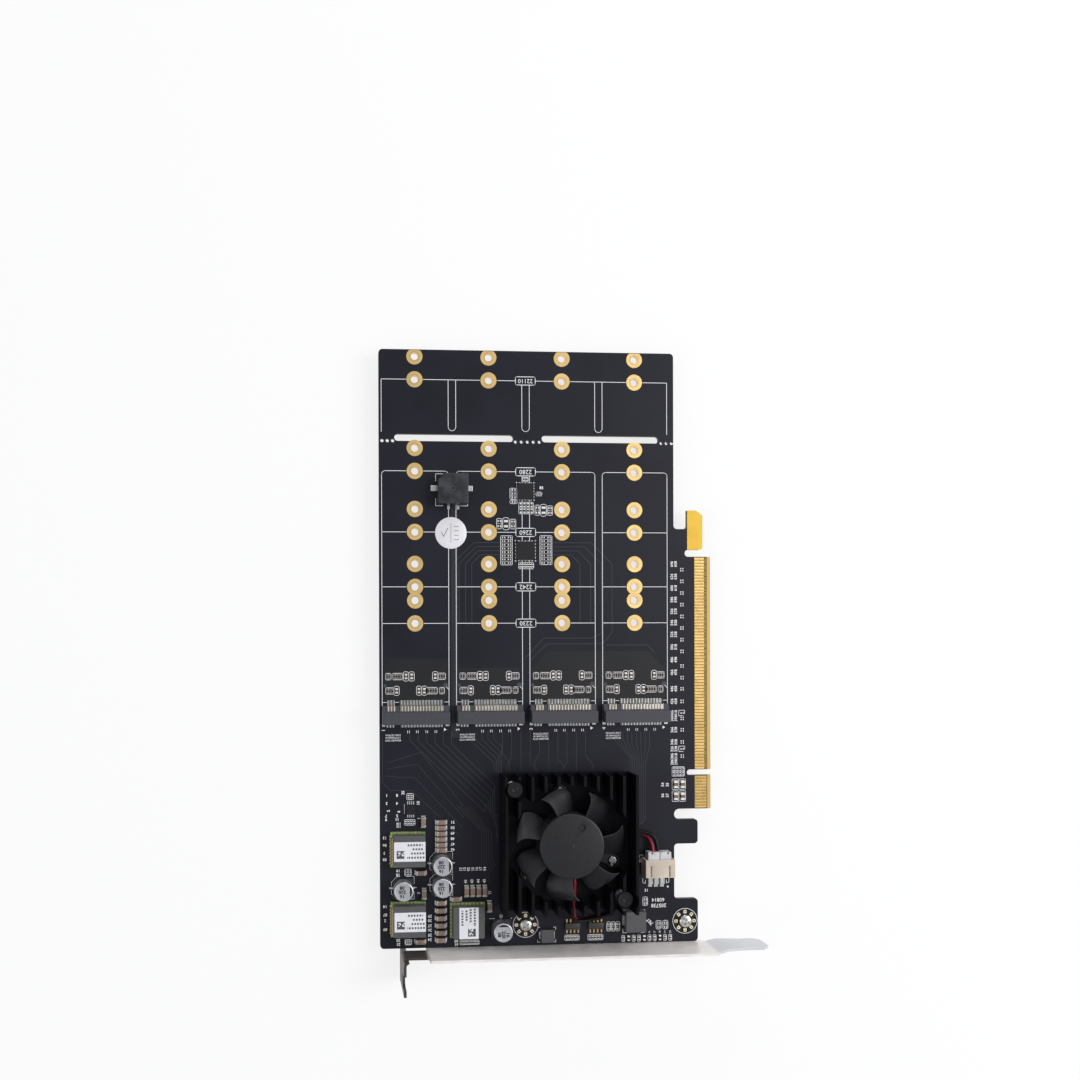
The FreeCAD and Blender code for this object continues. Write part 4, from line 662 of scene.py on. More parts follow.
# beside the clock buffer
for x0, x1, y0, y1 in ((-70.98, -67.12, 69.33, 78.93), (-57.86, -53.85, 69.45, 78.98)):
    framed(x0, x1, y0, y1, 2, 8, blacks, False)
framed(-65.02, -59.97, 68.05, 70.14, 7, 1, blacks, True)
framed(-64.9, -60.0, 86.23, 90.02, 4, 2, blacks, True, 0.18, 1.25, 0.6)
framed(-67.82, -65.48, 91.0, 94.63, 1, 3, blacks, False, 0.18, 1.25, 0.6)
framed(-67.82, -65.48, 89.57, 90.7, 1, 1, blacks, False, 0.18, 1.1, 0.55)
framed(-63.6, -61.7, 96.9, 98.3, 2, 1, blacks, True)
framed(-59.1, -57.2, 92.2, 93.4, 1, 1, blacks, False)
for x0, x1, y0, y1 in ((-59.49, -53.62, 85.43, 89.40), (-72.28, -65.90, 80.89, 84.90)):
    third = (x1 - x0) / 3
    framed(x0, x0 + third * 0.8, y0 + 0.35, y1 - 0.3, 1, 2, browns, False, 0.18, 1.1, 0.6)
    framed(x0 + third * 0.95, x0 + third * 1.95, y0, y1, 1, 1, blacks, True, 0.7, 2.2, 1.2)
    framed(x0 + third * 2.1, x1, y0 + 0.35, y1 - 0.5, 1, 2, browns, False, 0.18, 1.1, 0.6)
for m in range(3):
    framed(-35.7 + m * 1.55, -34.35 + m * 1.55, -52.5, -49.4, 1, 2, blacks, False, 0.45, 0.8, 0.6)
framed(-18.9, -17.2, -52.2, -49.4, 1, 2, blacks, False, 0.35, 0.9, 0.6)
framed(-16.6, -14.9, -52.2, -49.4, 1, 2, blacks, False, 0.35, 0.9, 0.6)
framed(-49.9, -45.0, -55.2, -53.5, 5, 1, blacks, True)
framed(-42.1, -37.0, -55.3, -53.5, 5, 1, blacks, True)
framed(-84.9, -78.5, -55.75, -54.35, 8, 1, blacks, True, 0.15, 0.9, 0.45)
framed(-103.1, -99.6, -16.05, -14.25, 4, 1, blacks, True, 0.15, 0.9, 0.5)
framed(-102.3, -100.1, -7.7, -5.7, 2, 1, browns, True, 0.3)
framed(-23.45, -21.8, -44.2, -41.4, 1, 2, browns, False, 0.2, 1.0, 0.7)
framed(-103.05, -100.9, -32.7, -30.5, 2, 2, blacks, False, 0.15, 0.8, 0.4)
framed(-103.0, -100.8, -55.3, -53.6, 2, 2, blacks, False, 0.15, 0.8, 0.4)
for m in range(10):                       # bottom row beside the converter inductor
    x = -30.1 + m * 1.78
    if m % 3 == 1:
        chip_part(blacks, x, -55.0, 1.6, 0.75, 0.45, True)
    else:
        framed(x - 0.5, x + 0.5, -56.1, -54.1, 1, 1, blacks, True, 0.15, 1.1, 0.55)
    if m > 4:
        print_number(prints, str(11 + m), x, -53.2, 0.6, 90)
# pairs along the edge
for y in (67.8, 63.9, 60.0, 56.1, 52.2, 48.3, 44.4, 40.5, 35.6, 31.7, 28.0, 23.8, 18.1, 14.3, 10.2, 5.5):
    chip_part(blacks, -9.9, y + 0.36, 1.0, 0.4, 0.3)
    chip_part(blacks, -9.9, y - 0.36, 1.0, 0.4, 0.3)
for m, y in enumerate((69.7, 65.5, 61.7, 57.8, 53.9, 50.1, 46.2, 42.0, 37.7, 33.5, 28.0, 23.8, 19.9, 18.1,
                       14.3, 10.2, 7.9, 5.5, 3.5)):
    print_number(prints, f"{64 - 2 * m:02d}6", -13.25, y, 0.95, 90, 0.02)
    print_number(prints, f"{65 - 2 * m:02d}8", -11.95, y, 0.95, 90, 0.02)
for y in (19.9, 7.9):
    inked(prints, [(-9.5, y - 0.9), (-11.0, y - 0.9), (-11.0, y + 0.9), (-9.0, y + 0.9), (-9.0, y - 0.2)],
          THIN)
    chip_part(browns, -9.95, y, 1.0, 0.5, 0.35)
for x in (-12.2, -9.85):                  # four larger capacitors by the short contacts
    for y in (-3.9, -7.9):
        inked(prints, frame_line(x - 1.1, x + 1.1, y - 1.75, y + 1.75, 0.2, 2), THIN)
        chip_part(browns, x, y, 2.3, 1.2, 0.8, True)
framed(-13.3, -9.1, -1.2, 1.9, 4, 2, blacks, True, 0.15, 0.95, 0.45)
# plain figures beside the parts: by column where they share one, then by row
for x, turn, marks in ((-16.5, 90, ((54, -4.0), (56, -7.6))), (-14.9, 90, ((55, -4.0), (57, -7.6))),
                       (-87.2, 180,
                        ((51, -15.3), (50, -17.1), (49, -18.9), (48, -20.7), (47, -22.5), (46, -24.3))),
                        (-94.8, 180,
                         ((29, -46.1), (30, -47.5), (27, -49.2), (26, -50.7), (25, -52.3), (24, -53.8))),
                         (-108.9, 180, ((1, -6.2), (3, -8.8))),
                         (-105.5, 180, ((8, -6.2), (4, -8.8), (5, -12.9), (11, -14.1))),
                         (-109.1, 180, ((7, -12.9), (9, -14.1))),
                         (-109.6, 180, ((13, -20.1), (86, -22.5), (88, -27.2))),
                         (-105.2, 180, ((19, -30.9), (18, -32.3), (20, -53.8), (21, -55.1))),
                         (-109.5, 180, ((14, -42.6), (87, -45.3), (2, -47.2), (89, -50.1))),
                         (-86.1, 180, ((60, -54.5), (61, -55.6))),
                         (-105.0, 180, ((110, -15.5), (112, -16.4)))):
    for figure, y in marks:
        print_number(prints, str(figure), x, y, 0.95 if figure < 100 else 0.7, turn, 0.03)
for y, turn, marks in ((-30.9, 90,
                        ((12, -84.5), (13, -83.2), (92, -81.9), (15, -80.5), (16, -79.2), (17, -77.9),
                         (94, -76.5))), (-34.9, 90, ((41, -82.9), (43, -80.8), (44, -78.7), (45, -76.7))),
                         (-38.8, 90, ((77, -74.8),)), (-11.3, 90, ((2, -108.3),)),
                         (-11.6, 90, ((6, -104.9),)), (-5.4, 90, ((35, -103.5),)),
                         (-8.9, 90, ((10, -98.5),)), (-25.1, 180, ((3, -109.7),)),
                         (-38.4, 90, ((3, -98.4),)), (-39.2, 0, ((31, -22.2),)), (-13.9, 90, ((1, -98.3),)),
                         (90.2, 0, ((22, -84.9),)), (94.8, 0, ((83, -57.3),))):
    for figure, x in marks:
        print_number(prints, str(figure), x, y, 0.95 if figure < 100 else 0.7, turn, 0.03)
for m, row in enumerate(("60814", "205738")):
    print_number(prints, row, -18.2 + m * 0.2, -42.4 - m * 1.9, 1.25, 180, 0.02)
print_number(prints, "707", -21.0, -49.7, 1.2, 135, 0.03)
# can outlines: a square with two cut corners
for x, y, turn in ((-91.0, -28.7, 0), (-91.0, -35.75, 0), (-103.7, -36.6, 0)):
    a, b = 3.75, 1.9
    inked(prints, [(x - a, y - 0.6), (x - a, y - b), (x - b, y - a), (x - 0.9, y - a)], 0.12)
    inked(prints, [(x - a, y + 0.6), (x - a, y + b), (x - b, y + a), (x - 0.9, y + a)], 0.12)
    inked(prints, [(x + a, y - 1.2), (x + a, y - a), (x + 1.4, y - a)], 0.12)
    inked(prints, [(x + a, y + 1.2), (x + a, y + a), (x + 1.4, y + a)], 0.12)
    for side in (-1, 1):
        inked(prints, [(x + side * 4.2 - 0.35, y), (x + side * 4.2 + 0.35, y)], 0.16)
    inked(prints, [(x - 4.2, y - 0.35), (x - 4.2, y + 0.35)], 0.16)
inked(prints, [(-75.1, -47.4), (-67.5, -47.4)], 0.14)
inked(prints, frame_line(-71.6, -70.8, -47.0, -46.2, 0.38, 3), 0.14)
# corner marks
for x0, x1, y0, y1, leg in ((-30.2, -22.75, -53.2, -45.7, 1.4), (-92.5, -81.9, 88.7, 99.2, 2.4),
                            (-59.0, -52.9, -55.6, -50.7, 0.8)):
    for cx, sx in ((x0, 1), (x1, -1)):
        for cy, sy in ((y0, 1), (y1, -1)):
            inked(prints, [(cx + sx * leg, cy), (cx, cy), (cx, cy + sy * leg)], 0.15)
# dashed outlines of the two square chips
for x0, x1, y0, y1 in ((-66.05, -59.35, 70.65, 77.35), (-65.6, -59.8, 90.75, 96.5)):
    for m in range(7):
        at = m / 6
        for a, b in (((x0 + (x1 - x0) * at, y0), (1, 0)), ((x0 + (x1 - x0) * at, y1), (1, 0)),
                     ((x0, y0 + (y1 - y0) * at), (0, 1)), ((x1, y0 + (y1 - y0) * at), (0, 1))):
            inked(prints, [(a[0] - b[0] * 0.22, a[1] - b[1] * 0.22),
                           (a[0] + b[0] * 0.22, a[1] + b[1] * 0.22)], 0.16)
inked(prints, [(-103.1, -9.2), (-103.1, -12.3)], 0.14)
inked(prints, [(-24.5, -30.0), (-24.5, -27.4), (-23.2, -27.4)], 0.14)
for side in (-23.4, -14.5):               # small hooks beside the header's feet
    tip = side + (0.9 if side < -20 else -0.9)
    inked(prints, [(side, -35.1), (side, -36.6), (tip, -36.9), (tip, -35.7)], 0.18)
turned(prints, [(0.0, INK_HIGH), (0.32, INK_HIGH), (0.32, INK_LOW), (0.0, INK_LOW)], (-14.9, -38.1), 16)
piece("chip_bodies_brown", browns, chip_brown)
piece("chip_bodies_black", blacks, chip_black)
piece("chip_end_caps", tips, chip_ends)
piece("dull_end_caps", dull_tips, dull_ends)
piece("part_print", prints, ink)
pegs, pours = bmesh.new(), bmesh.new()
for column in HOLE_COLUMNS:               # pegs of the rear sockets show in their holes
    turned(pegs, [(0.0, TOP + 0.012), (0.55, TOP + 0.012), (0.55, TOP - 0.2), (0.0, TOP - 0.2)],
           (column - 9.97, 29.72), 20)
    turned(pegs, [(0.0, TOP + 0.012), (0.8, TOP + 0.012), (0.8, TOP - 0.2), (0.0, TOP - 0.2)],
           (column + 10.04, 29.72), 24)
for outline in ([(-109.4, 24.9), (-88.7, 24.9), (-88.7, 38.2), (-89.1, 38.6), (-109.0, 38.6), (-109.4, 38.2)],
                [(-85.1, 24.9), (-64.8, 24.9), (-64.8, 35.4), (-85.1, 35.4)],
                [(-60.6, 24.9), (-15.9, 24.9), (-15.9, 35.2), (-21.4, 40.7), (-55.2, 40.7), (-60.6, 35.4)]):
    face = pours.faces.new([pours.verts.new((x * MM, y * MM, (TOP + 0.006) * MM)) for x, y in outline])
    grown = bmesh.ops.extrude_face_region(pours, geom=[face])["geom"]
    bmesh.ops.translate(pours, vec=(0, 0, -0.00002),
                        verts=[v for v in grown if isinstance(v, bmesh.types.BMVert)])
piece("socket_pegs", pegs, nylon)
pour_tone = finish("open_pour", (0.0125, 0.0127, 0.0142), 0.46, vary=0.15, scale=60.0, specular=0.3)
piece("copper_pours", pours, pour_tone)

# ---------------------------------------------------------------- heatsink
# Extruded and bored aluminium, black anodised: eleven fins on a 2 mm base, with a
# round well for the fan and two clear corners for the push pins.
anodised = finish("black_anodised", (0.0024, 0.0026, 0.0042), 0.46, vary=0.25, scale=1200.0, bump=0.18,
                  stretch=(1, 0.12, 1), rough_vary=0.08, specular=0.13)
dressed("heatsink", 0.10, anodised)
compound = finish("thermal_compound", (0.42, 0.42, 0.40), 0.6, vary=0.1, bump=0.2)
paint("thermal_pad", compound)
epoxy = finish("moulded_epoxy", (0.0105, 0.0100, 0.0125), 0.55, vary=0.12, scale=1800.0, bump=0.2,
               specular=0.3)
paint("switch_chip", epoxy)

# ---------------------------------------------------------------- push pins
# Two split nylon pins with coil springs under their heads hold the heatsink down and
# snap into the board.
pin_nylon = finish("pin_nylon", (0.008, 0.008, 0.010), 0.34, vary=0.12, scale=900.0, bump=0.1, specular=0.35)
dressed("push_pins", 0.10, pin_nylon)
PINS = ((-68.3, -3.4), (-32.3, -39.4))
spring_steel = finish("spring_wire", (0.30, 0.30, 0.31), 0.3, metallic=1.0, vary=0.1)


def wire(points, radius, roundness, steps, order):
    """A round wire along a smooth line laid by points."""
    curve = bpy.data.curves.new("wire", "CURVE")
    curve.dimensions, curve.bevel_depth = "3D", radius * MM
    curve.bevel_resolution, curve.resolution_u = roundness, steps
    curve.use_fill_caps = True
    line = curve.splines.new("NURBS")
    line.points.add(len(points) - 1)
    for point, spot in zip(line.points, points):
        point.co = (*[c * MM for c in spot], 1)
    line.order_u, line.use_endpoint_u = order, True
    return curve_mesh(curve)


bm = bmesh.new()
COIL_RADIUS, COIL_LOW, COIL_RISE, COIL_POINTS = 2.05, 5.5, 4.6, 40      # five turns of eight points
for x, y in PINS:
    helix = [(x + COIL_RADIUS * math.cos(math.tau * k / 8), y + COIL_RADIUS * math.sin(math.tau * k / 8),
              COIL_LOW + COIL_RISE * k / COIL_POINTS) for k in range(COIL_POINTS + 1)]
    merge_in(bm, wire(helix, 0.22, 2, 4, 4))
piece("pin_springs", bm, spring_steel, sharp=60)
bm = bmesh.new()
for x, y in PINS:                        # moulding gate well in the middle of each head
    turned(bm, [(0.0, 11.49), (0.62, 11.49), (0.80, 11.56), (0.95, 11.49), (0.95, 11.3), (0.0, 11.3)],
           (x, y), 24)
piece("pin_head_dimples", bm, pin_nylon)

# ---------------------------------------------------------------- fan stand
# Moulded base with three screwed ears, a bush for the shaft and the wound core, fixed
# to the heatsink.  The leads are soldered to the small block at its front.
fan_black = finish("fan_plastic", (0.0135, 0.0135, 0.0170), 0.40, vary=0.12, scale=1000.0, bump=0.10,
                   rough_vary=0.05, specular=0.36)
dressed("fan_base", 0.12, fan_black)
steel_sheet = finish("electrical_steel", (0.30, 0.30, 0.31), 0.38, metallic=1.0, vary=0.1, stretch=(1, 1, 8))
paint("stator_core", steel_sheet)
plated = finish("bright_plate", (0.62, 0.62, 0.60), 0.26, metallic=1.0, vary=0.1, scale=700.0, bump=0.15,
                rough_vary=0.1)


def hollowed(made, hollow, edge=0.1):
    """Cuts a second mesh out of a piece and then breaks its edges."""
    tool = piece("tool", hollow, made.data.materials[0])
    tool.data.shade_flat()
    carve = made.modifiers.new("cut", "BOOLEAN")
    carve.operation, carve.object = "DIFFERENCE", tool
    carve.solver, carve.use_self = "EXACT", True
    bpy.context.view_layer.update()
    carved = bpy.data.meshes.new_from_object(made.evaluated_get(bpy.context.evaluated_depsgraph_get()))
    made.modifiers.clear()
    made.data = carved
    bpy.data.objects.remove(tool)
    if edge:
        rounding = made.modifiers.new("broken_edges", "BEVEL")
        rounding.width, rounding.segments = edge * MM, 2
        rounding.limit_method, rounding.angle_limit = "ANGLE", math.radians(30)


def screw_head(heads, recesses, x, y, low, radius, height, turn=0.0):
    """A domed head and the cross pressed into it."""
    swings = [math.pi / 2 * k / 7 for k in range(8)]
    dome = [(radius * math.sin(a), low + height * (0.42 + 0.58 * math.cos(a))) for a in swings]
    turned(heads, dome + [(radius, low), (0.0, low)], (x, y), 40)
    for k in range(2):
        block(recesses, (x - radius * 0.62, y - radius * 0.13, low + height * 0.4),
              (x + radius * 0.62, y + radius * 0.13, low + height * 1.2),
              turn + 90 * k, (x, y))


FAN_X, FAN_Y = -50.3, -21.4
bm, recesses = bmesh.new(), bmesh.new()
for degrees in (-23, 97, 217):
    x = FAN_X + 16.6 * math.cos(math.radians(degrees))
    y = FAN_Y + 16.6 * math.sin(math.radians(degrees))
    screw_head(bm, recesses, x, y, 6.185, 1.65, 0.8, degrees)
    turned(bm, [(0.0, 4.2), (0.8, 4.2), (0.8, 6.2), (0.0, 6.2)], (x, y), 20)
dull_plate = finish("dull_plate", (0.30, 0.30, 0.31), 0.24, metallic=1.0, vary=0.1)
hollowed(piece("fan_screw_heads", bm, dull_plate, replaces=("fan_screws",)), recesses, 0)

# ---------------------------------------------------------------- fan rotor
# One moulding: a cup 21 mm across over a ring magnet, and seven swept blades, thin and
# hollow towards the flow.  It turns on a steel shaft in the base's bush.
bm = bmesh.new()
hub = [(0.0, 14.185), (9.9, 14.185), (10.22, 14.12), (10.42, 13.94), (10.5, 13.65), (10.5, 6.785),
       (9.4, 6.785), (9.4, 13.085), (0.0, 13.085)]
turned(bm, hub, (FAN_X, FAN_Y), 96)
dimple_turn = math.radians(3.7)
dx = 3.5 * math.cos(dimple_turn) - 5.8 * math.sin(dimple_turn)
dy = 3.5 * math.sin(dimple_turn) + 5.8 * math.cos(dimple_turn)
rotor_cup = piece("rotor_cup", bm, fan_black, "fan_rotor", ("fan_impeller",), 40)
bm = bmesh.new()
turned(bm, [(0.0, 14.21), (0.62, 14.21), (0.7, 14.17), (0.0, 14.17)], (FAN_X, FAN_Y), 28)
piece("hub_gate_mark", bm, fan_black, "fan_rotor")
mark = bmesh.new()
turned(mark, [(0.0, 13.75), (1.15, 13.75), (1.25, 14.4), (0.0, 14.4)], (FAN_X + dx, FAN_Y + dy), 28)
hollowed(rotor_cup, mark, 0)

ACROSS, ALONG = 16, 14
bm = bmesh.new()
for blade in range(7):
    part = bmesh.new()
    bmesh.ops.create_grid(part, x_segments=ACROSS, y_segments=ALONG, size=0.5)
    for vert in part.verts:
        # u from root to tip, v from trailing to leading edge
        u, v = vert.co.x + 0.5, vert.co.y + 0.5
        radius = 9.9 + (17.9 - 9.9) * u
        lead = -7.2 * (1 - u ** 4)              # the leading edge is hooked forward at its tip
        angle = 21.2 + lead + (v - 1) * (33.0 - 3.0 * u) + 360 / 7 * blade
        fall = 1 - v
        height = 13.45 - 5.5 * (0.55 * fall + 0.45 * fall * fall) - 0.4 * (1 - u)
        height -= 0.9 * math.sin(math.pi * fall) * (0.6 + 0.4 * u)      # camber
        spot = math.radians(angle)
        vert.co = ((FAN_X + radius * math.cos(spot)) * MM, (FAN_Y + radius * math.sin(spot)) * MM,
                   height * MM)
    bmesh.ops.recalc_face_normals(part, faces=part.faces)
    bmesh.ops.solidify(part, geom=part.faces, thickness=0.0005)
    bmesh.ops.recalc_face_normals(part, faces=part.faces)
    merge_in(bm, part)
blades = piece("rotor_blades", bm, fan_black, "fan_rotor", sharp=50)
rounding = blades.modifiers.new("thin_edges", "BEVEL")
rounding.width, rounding.segments, rounding.limit_method = 0.00018, 2, "ANGLE"
rounding.angle_limit = math.radians(50)
magnet = finish("ferrite_magnet", (0.05, 0.05, 0.052), 0.5, vary=0.1)
paint("rotor_magnet", magnet)
paint("fan_shaft", plated)

# ---------------------------------------------------------------- fan leads, plug and header
# Two insulated wires, 1.2 mm over the sheath, run under the fins and out beside the
# heatsink to a white three way plug in a cream surface mount header.
EDGE, PLUG_END, PLUG_Z = -43.8, -26.85, 3.385
CORRIDOR = -29.92
red_sheath = finish("red_sheath", (0.24, 0.005, 0.018), 0.36, vary=0.12, scale=900.0, bump=0.08)
black_sheath = finish("black_sheath", (0.004, 0.004, 0.005), 0.34, vary=0.12, scale=900.0, bump=0.08,
                      specular=0.2)
START_Z, LOW_RUN, HIGH_RUN = 6.305, 1.385, 2.615
INNER, OUTER = -49.11, -47.82
black_path = [(INNER, -33.3, START_Z), (INNER, -38.0, START_Z), (INNER, EDGE - 1.6, START_Z),
              (INNER + 1.8, EDGE - 4.3, HIGH_RUN + 1.6), (OUTER + 4.4, EDGE - 4.3, HIGH_RUN + 0.8),
              (INNER + 10.0, EDGE - 3.7, HIGH_RUN + 0.5), (CORRIDOR - 3.0, EDGE - 2.0, HIGH_RUN + 0.1),
              (CORRIDOR, EDGE + 6, HIGH_RUN), (CORRIDOR, EDGE + 20.6, HIGH_RUN),
              (CORRIDOR + 3.4, EDGE + 24.4, HIGH_RUN), (CORRIDOR + 8.6, EDGE + 24.3, HIGH_RUN + 0.3),
              (-19.15, EDGE + 21.0, PLUG_Z), (-19.15, PLUG_END, PLUG_Z)]
red_path = [(OUTER, -33.3, START_Z), (OUTER, -38.0, START_Z), (OUTER - 0.3, EDGE - 1.0, START_Z - 0.6),
            (OUTER + 1.2, EDGE - 4.4, LOW_RUN + 1.5), (OUTER + 4.4, EDGE - 4.6, LOW_RUN + 0.6),
            (INNER + 10.0, EDGE - 4.0, LOW_RUN + 0.3), (CORRIDOR - 3.0, EDGE - 2.3, LOW_RUN + 0.1),
            (CORRIDOR, EDGE + 6, LOW_RUN), (CORRIDOR, EDGE + 20.4, LOW_RUN),
            (CORRIDOR + 3.2, EDGE + 24.2, LOW_RUN), (CORRIDOR + 7.6, EDGE + 23.6, LOW_RUN + 0.4),
            (-20.7, EDGE + 20.2, PLUG_Z), (-20.7, PLUG_END, PLUG_Z)]
for name, route, sheath, colour in (("black_lead", black_path, black_sheath, "black_sheath"),
                                    ("red_lead", red_path, red_sheath, "red_sheath")):
    piece(name + "_round", wire(route, 0.6, 5, 8, 3), sheath, replaces=(name,), sharp=60)
white_nylon = finish("white_nylon", (0.62, 0.61, 0.63), 0.42, vary=0.06, scale=900.0, bump=0.1)
cream_nylon = finish("cream_nylon", (0.62, 0.53, 0.44), 0.46, vary=0.06, scale=900.0, bump=0.1)
bm, hollow = bmesh.new(), bmesh.new()
block(bm, (-23.9, -33.95, TOP), (-14.0, -28.05, TOP + 5.2))
block(hollow, (-23.2, -32.8, TOP + 0.7), (-14.7, -27.0, TOP + 4.5))
for x in (-22.05, -15.85):                  # latch slots in the roof
    block(hollow, (x - 0.26, -33.7, TOP + 4.56), (x + 0.26, -30.1, TOP + 6.0))


hollowed(piece("fan_header_box", bm, cream_nylon, replaces=("fan_header",)), hollow)
plug, hollow = bmesh.new(), bmesh.new()
plug.from_mesh(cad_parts["lead_plug"].data)
bmesh.ops.remove_doubles(plug, verts=plug.verts, dist=1e-6)
ends = [v.co for v in plug.verts]
x0, x1 = min(v.x for v in ends) / MM, max(v.x for v in ends) / MM
back, top = max(v.y for v in ends) / MM, max(v.z for v in ends) / MM
for x in (x0 + 1.2, (x0 + x1) / 2, x1 - 1.2):        # the split between ways and the two latch notches
    wide = 0.13 if abs(x - (x0 + x1) / 2) < 0.1 else 0.42
    block(hollow, (x - wide, back - 2.6 if wide < 0.2 else back - 0.7, top - 0.7),
          (x + wide, back + 1.0, top + 1.0))
hollowed(piece("lead_plug_box", plug, white_nylon, replaces=("lead_plug",)), hollow)
tinned = finish("tin_plate", (0.70, 0.70, 0.69), 0.30, metallic=1.0, vary=0.1, scale=900.0, bump=0.2,
                rough_vary=0.08)
dressed("header_pins", 0.06, tinned)
bm = bmesh.new()
for x in (-20.95, -18.95, -16.95):          # solder along the three feet, and the hold down beside the mouth
    block(bm, (x - 0.66, -38.0, TOP), (x + 0.66, -34.4, TOP + 0.1))
    block(bm, (x - 0.42, -37.3, TOP), (x + 0.42, -33.95, TOP + 0.42))
block(bm, (-24.9, -29.7, TOP), (-23.9, -28.5, TOP + 0.5))
piece("header_joints", bm, tinned)

# ---------------------------------------------------------------- power modules
# Three converter modules: a green board with gilt half holes along its edges, a grey
# ferrite block pressed over it and a plain white paper label on top.
green = finish("green_mask", (0.14, 0.27, 0.08), 0.40, vary=0.25, scale=420.0, bump=0.1)
ferrite = finish("pressed_ferrite", (0.085, 0.083, 0.086), 0.50, vary=0.14, scale=1600.0, bump=0.35,
                 rough_vary=0.07)
paper_label = finish("label_paper", (0.76, 0.76, 0.81), 0.55, vary=0.05, scale=600.0, bump=0.08)
label_ink = finish("label_ink", (0.07, 0.07, 0.08), 0.6, vary=0.1)
pale_gilt = finish("pale_gilt", (0.80, 0.66, 0.36), 0.34, metallic=1.0, vary=0.1)
for k in (1, 2, 3):
    dressed(f"module_board_{k}", 0.05, green)
    dressed(f"module_core_{k}", 0.16, ferrite)
dressed("module_labels", 0.02, paper_label)
MODULES = (((-102.07, -23.83), 0), ((-102.0, -46.65), 0), ((-82.5, -47.33), 90))
gold_bits, dark_bits = bmesh.new(), bmesh.new()
for (mx, my), turn in MODULES:
    low, high = TOP + 1.2, TOP + 1.235
    if turn == 0:
        for k in range(9):                  # half holes down the left edge
            y = my - 4.4 + k * 1.1
            turned(gold_bits, [(0.16, TOP + 0.02), (0.42, TOP + 0.02), (0.42, high), (0.16, high)],
                   (mx - 5.62, y), 16)
        block(gold_bits, (mx - 5.70, my - 4.9, low), (mx - 4.95, my + 3.7, high))
        for k in range(7):                  # pads along the top edge
            block(gold_bits, (mx - 4.4 + k * 1.3, my + 5.30, low), (mx - 3.7 + k * 1.3, my + 5.72, high))
        for side in (-1, 1):
            block(gold_bits, (mx - 5.6, my + side * 5.2 - 0.16, low),
                  (mx - 5.2, my + side * 5.2 + 0.16, high))
    else:
        for k in range(8):
            block(gold_bits, (mx - 4.5 + k * 1.25, my + 5.05, low), (mx - 3.85 + k * 1.25, my + 5.65, high))
            block(gold_bits, (mx - 5.72, my - 4.6 + k * 1.2, low), (mx - 5.35, my - 4.1 + k * 1.2, high))
piece("module_half_holes", gold_bits, pale_gilt)
for (mx, my), turn in MODULES:              # generic print: a square of plain cells and four ruled lines
    top = TOP + 4.9
    sx, sy = (mx + 0.35, my) if turn == 0 else (mx, my - 0.12)
    for r in range(6):
        for c in range(6):
            if (r * 5 + c * 3 + r * c) % 4 < 2 or r == 0 or c == 0:
                block(dark_bits, (sx - 4.3 + c * 0.42, sy - 2.2 + r * 0.42, top),
                      (sx - 3.88 + c * 0.42, sy - 1.78 + r * 0.42, top + 0.012), turn, (sx, sy))
    for r, (a, b) in enumerate(((-0.9, 4.3), (0.4, 4.1), (0.9, 4.3), (-0.7, 4.2))):
        y = sy - 2.2 + r * 1.35
        x = a
        while x < b:
            step = 0.34 + 0.22 * ((r * 7 + int(x * 10)) % 3)
            block(dark_bits, (sx + x, y, top), (sx + x + step * 0.72, y + 0.62, top + 0.012), turn, (sx, sy))
            x += step + 0.14
piece("label_marks", dark_bits, label_ink)

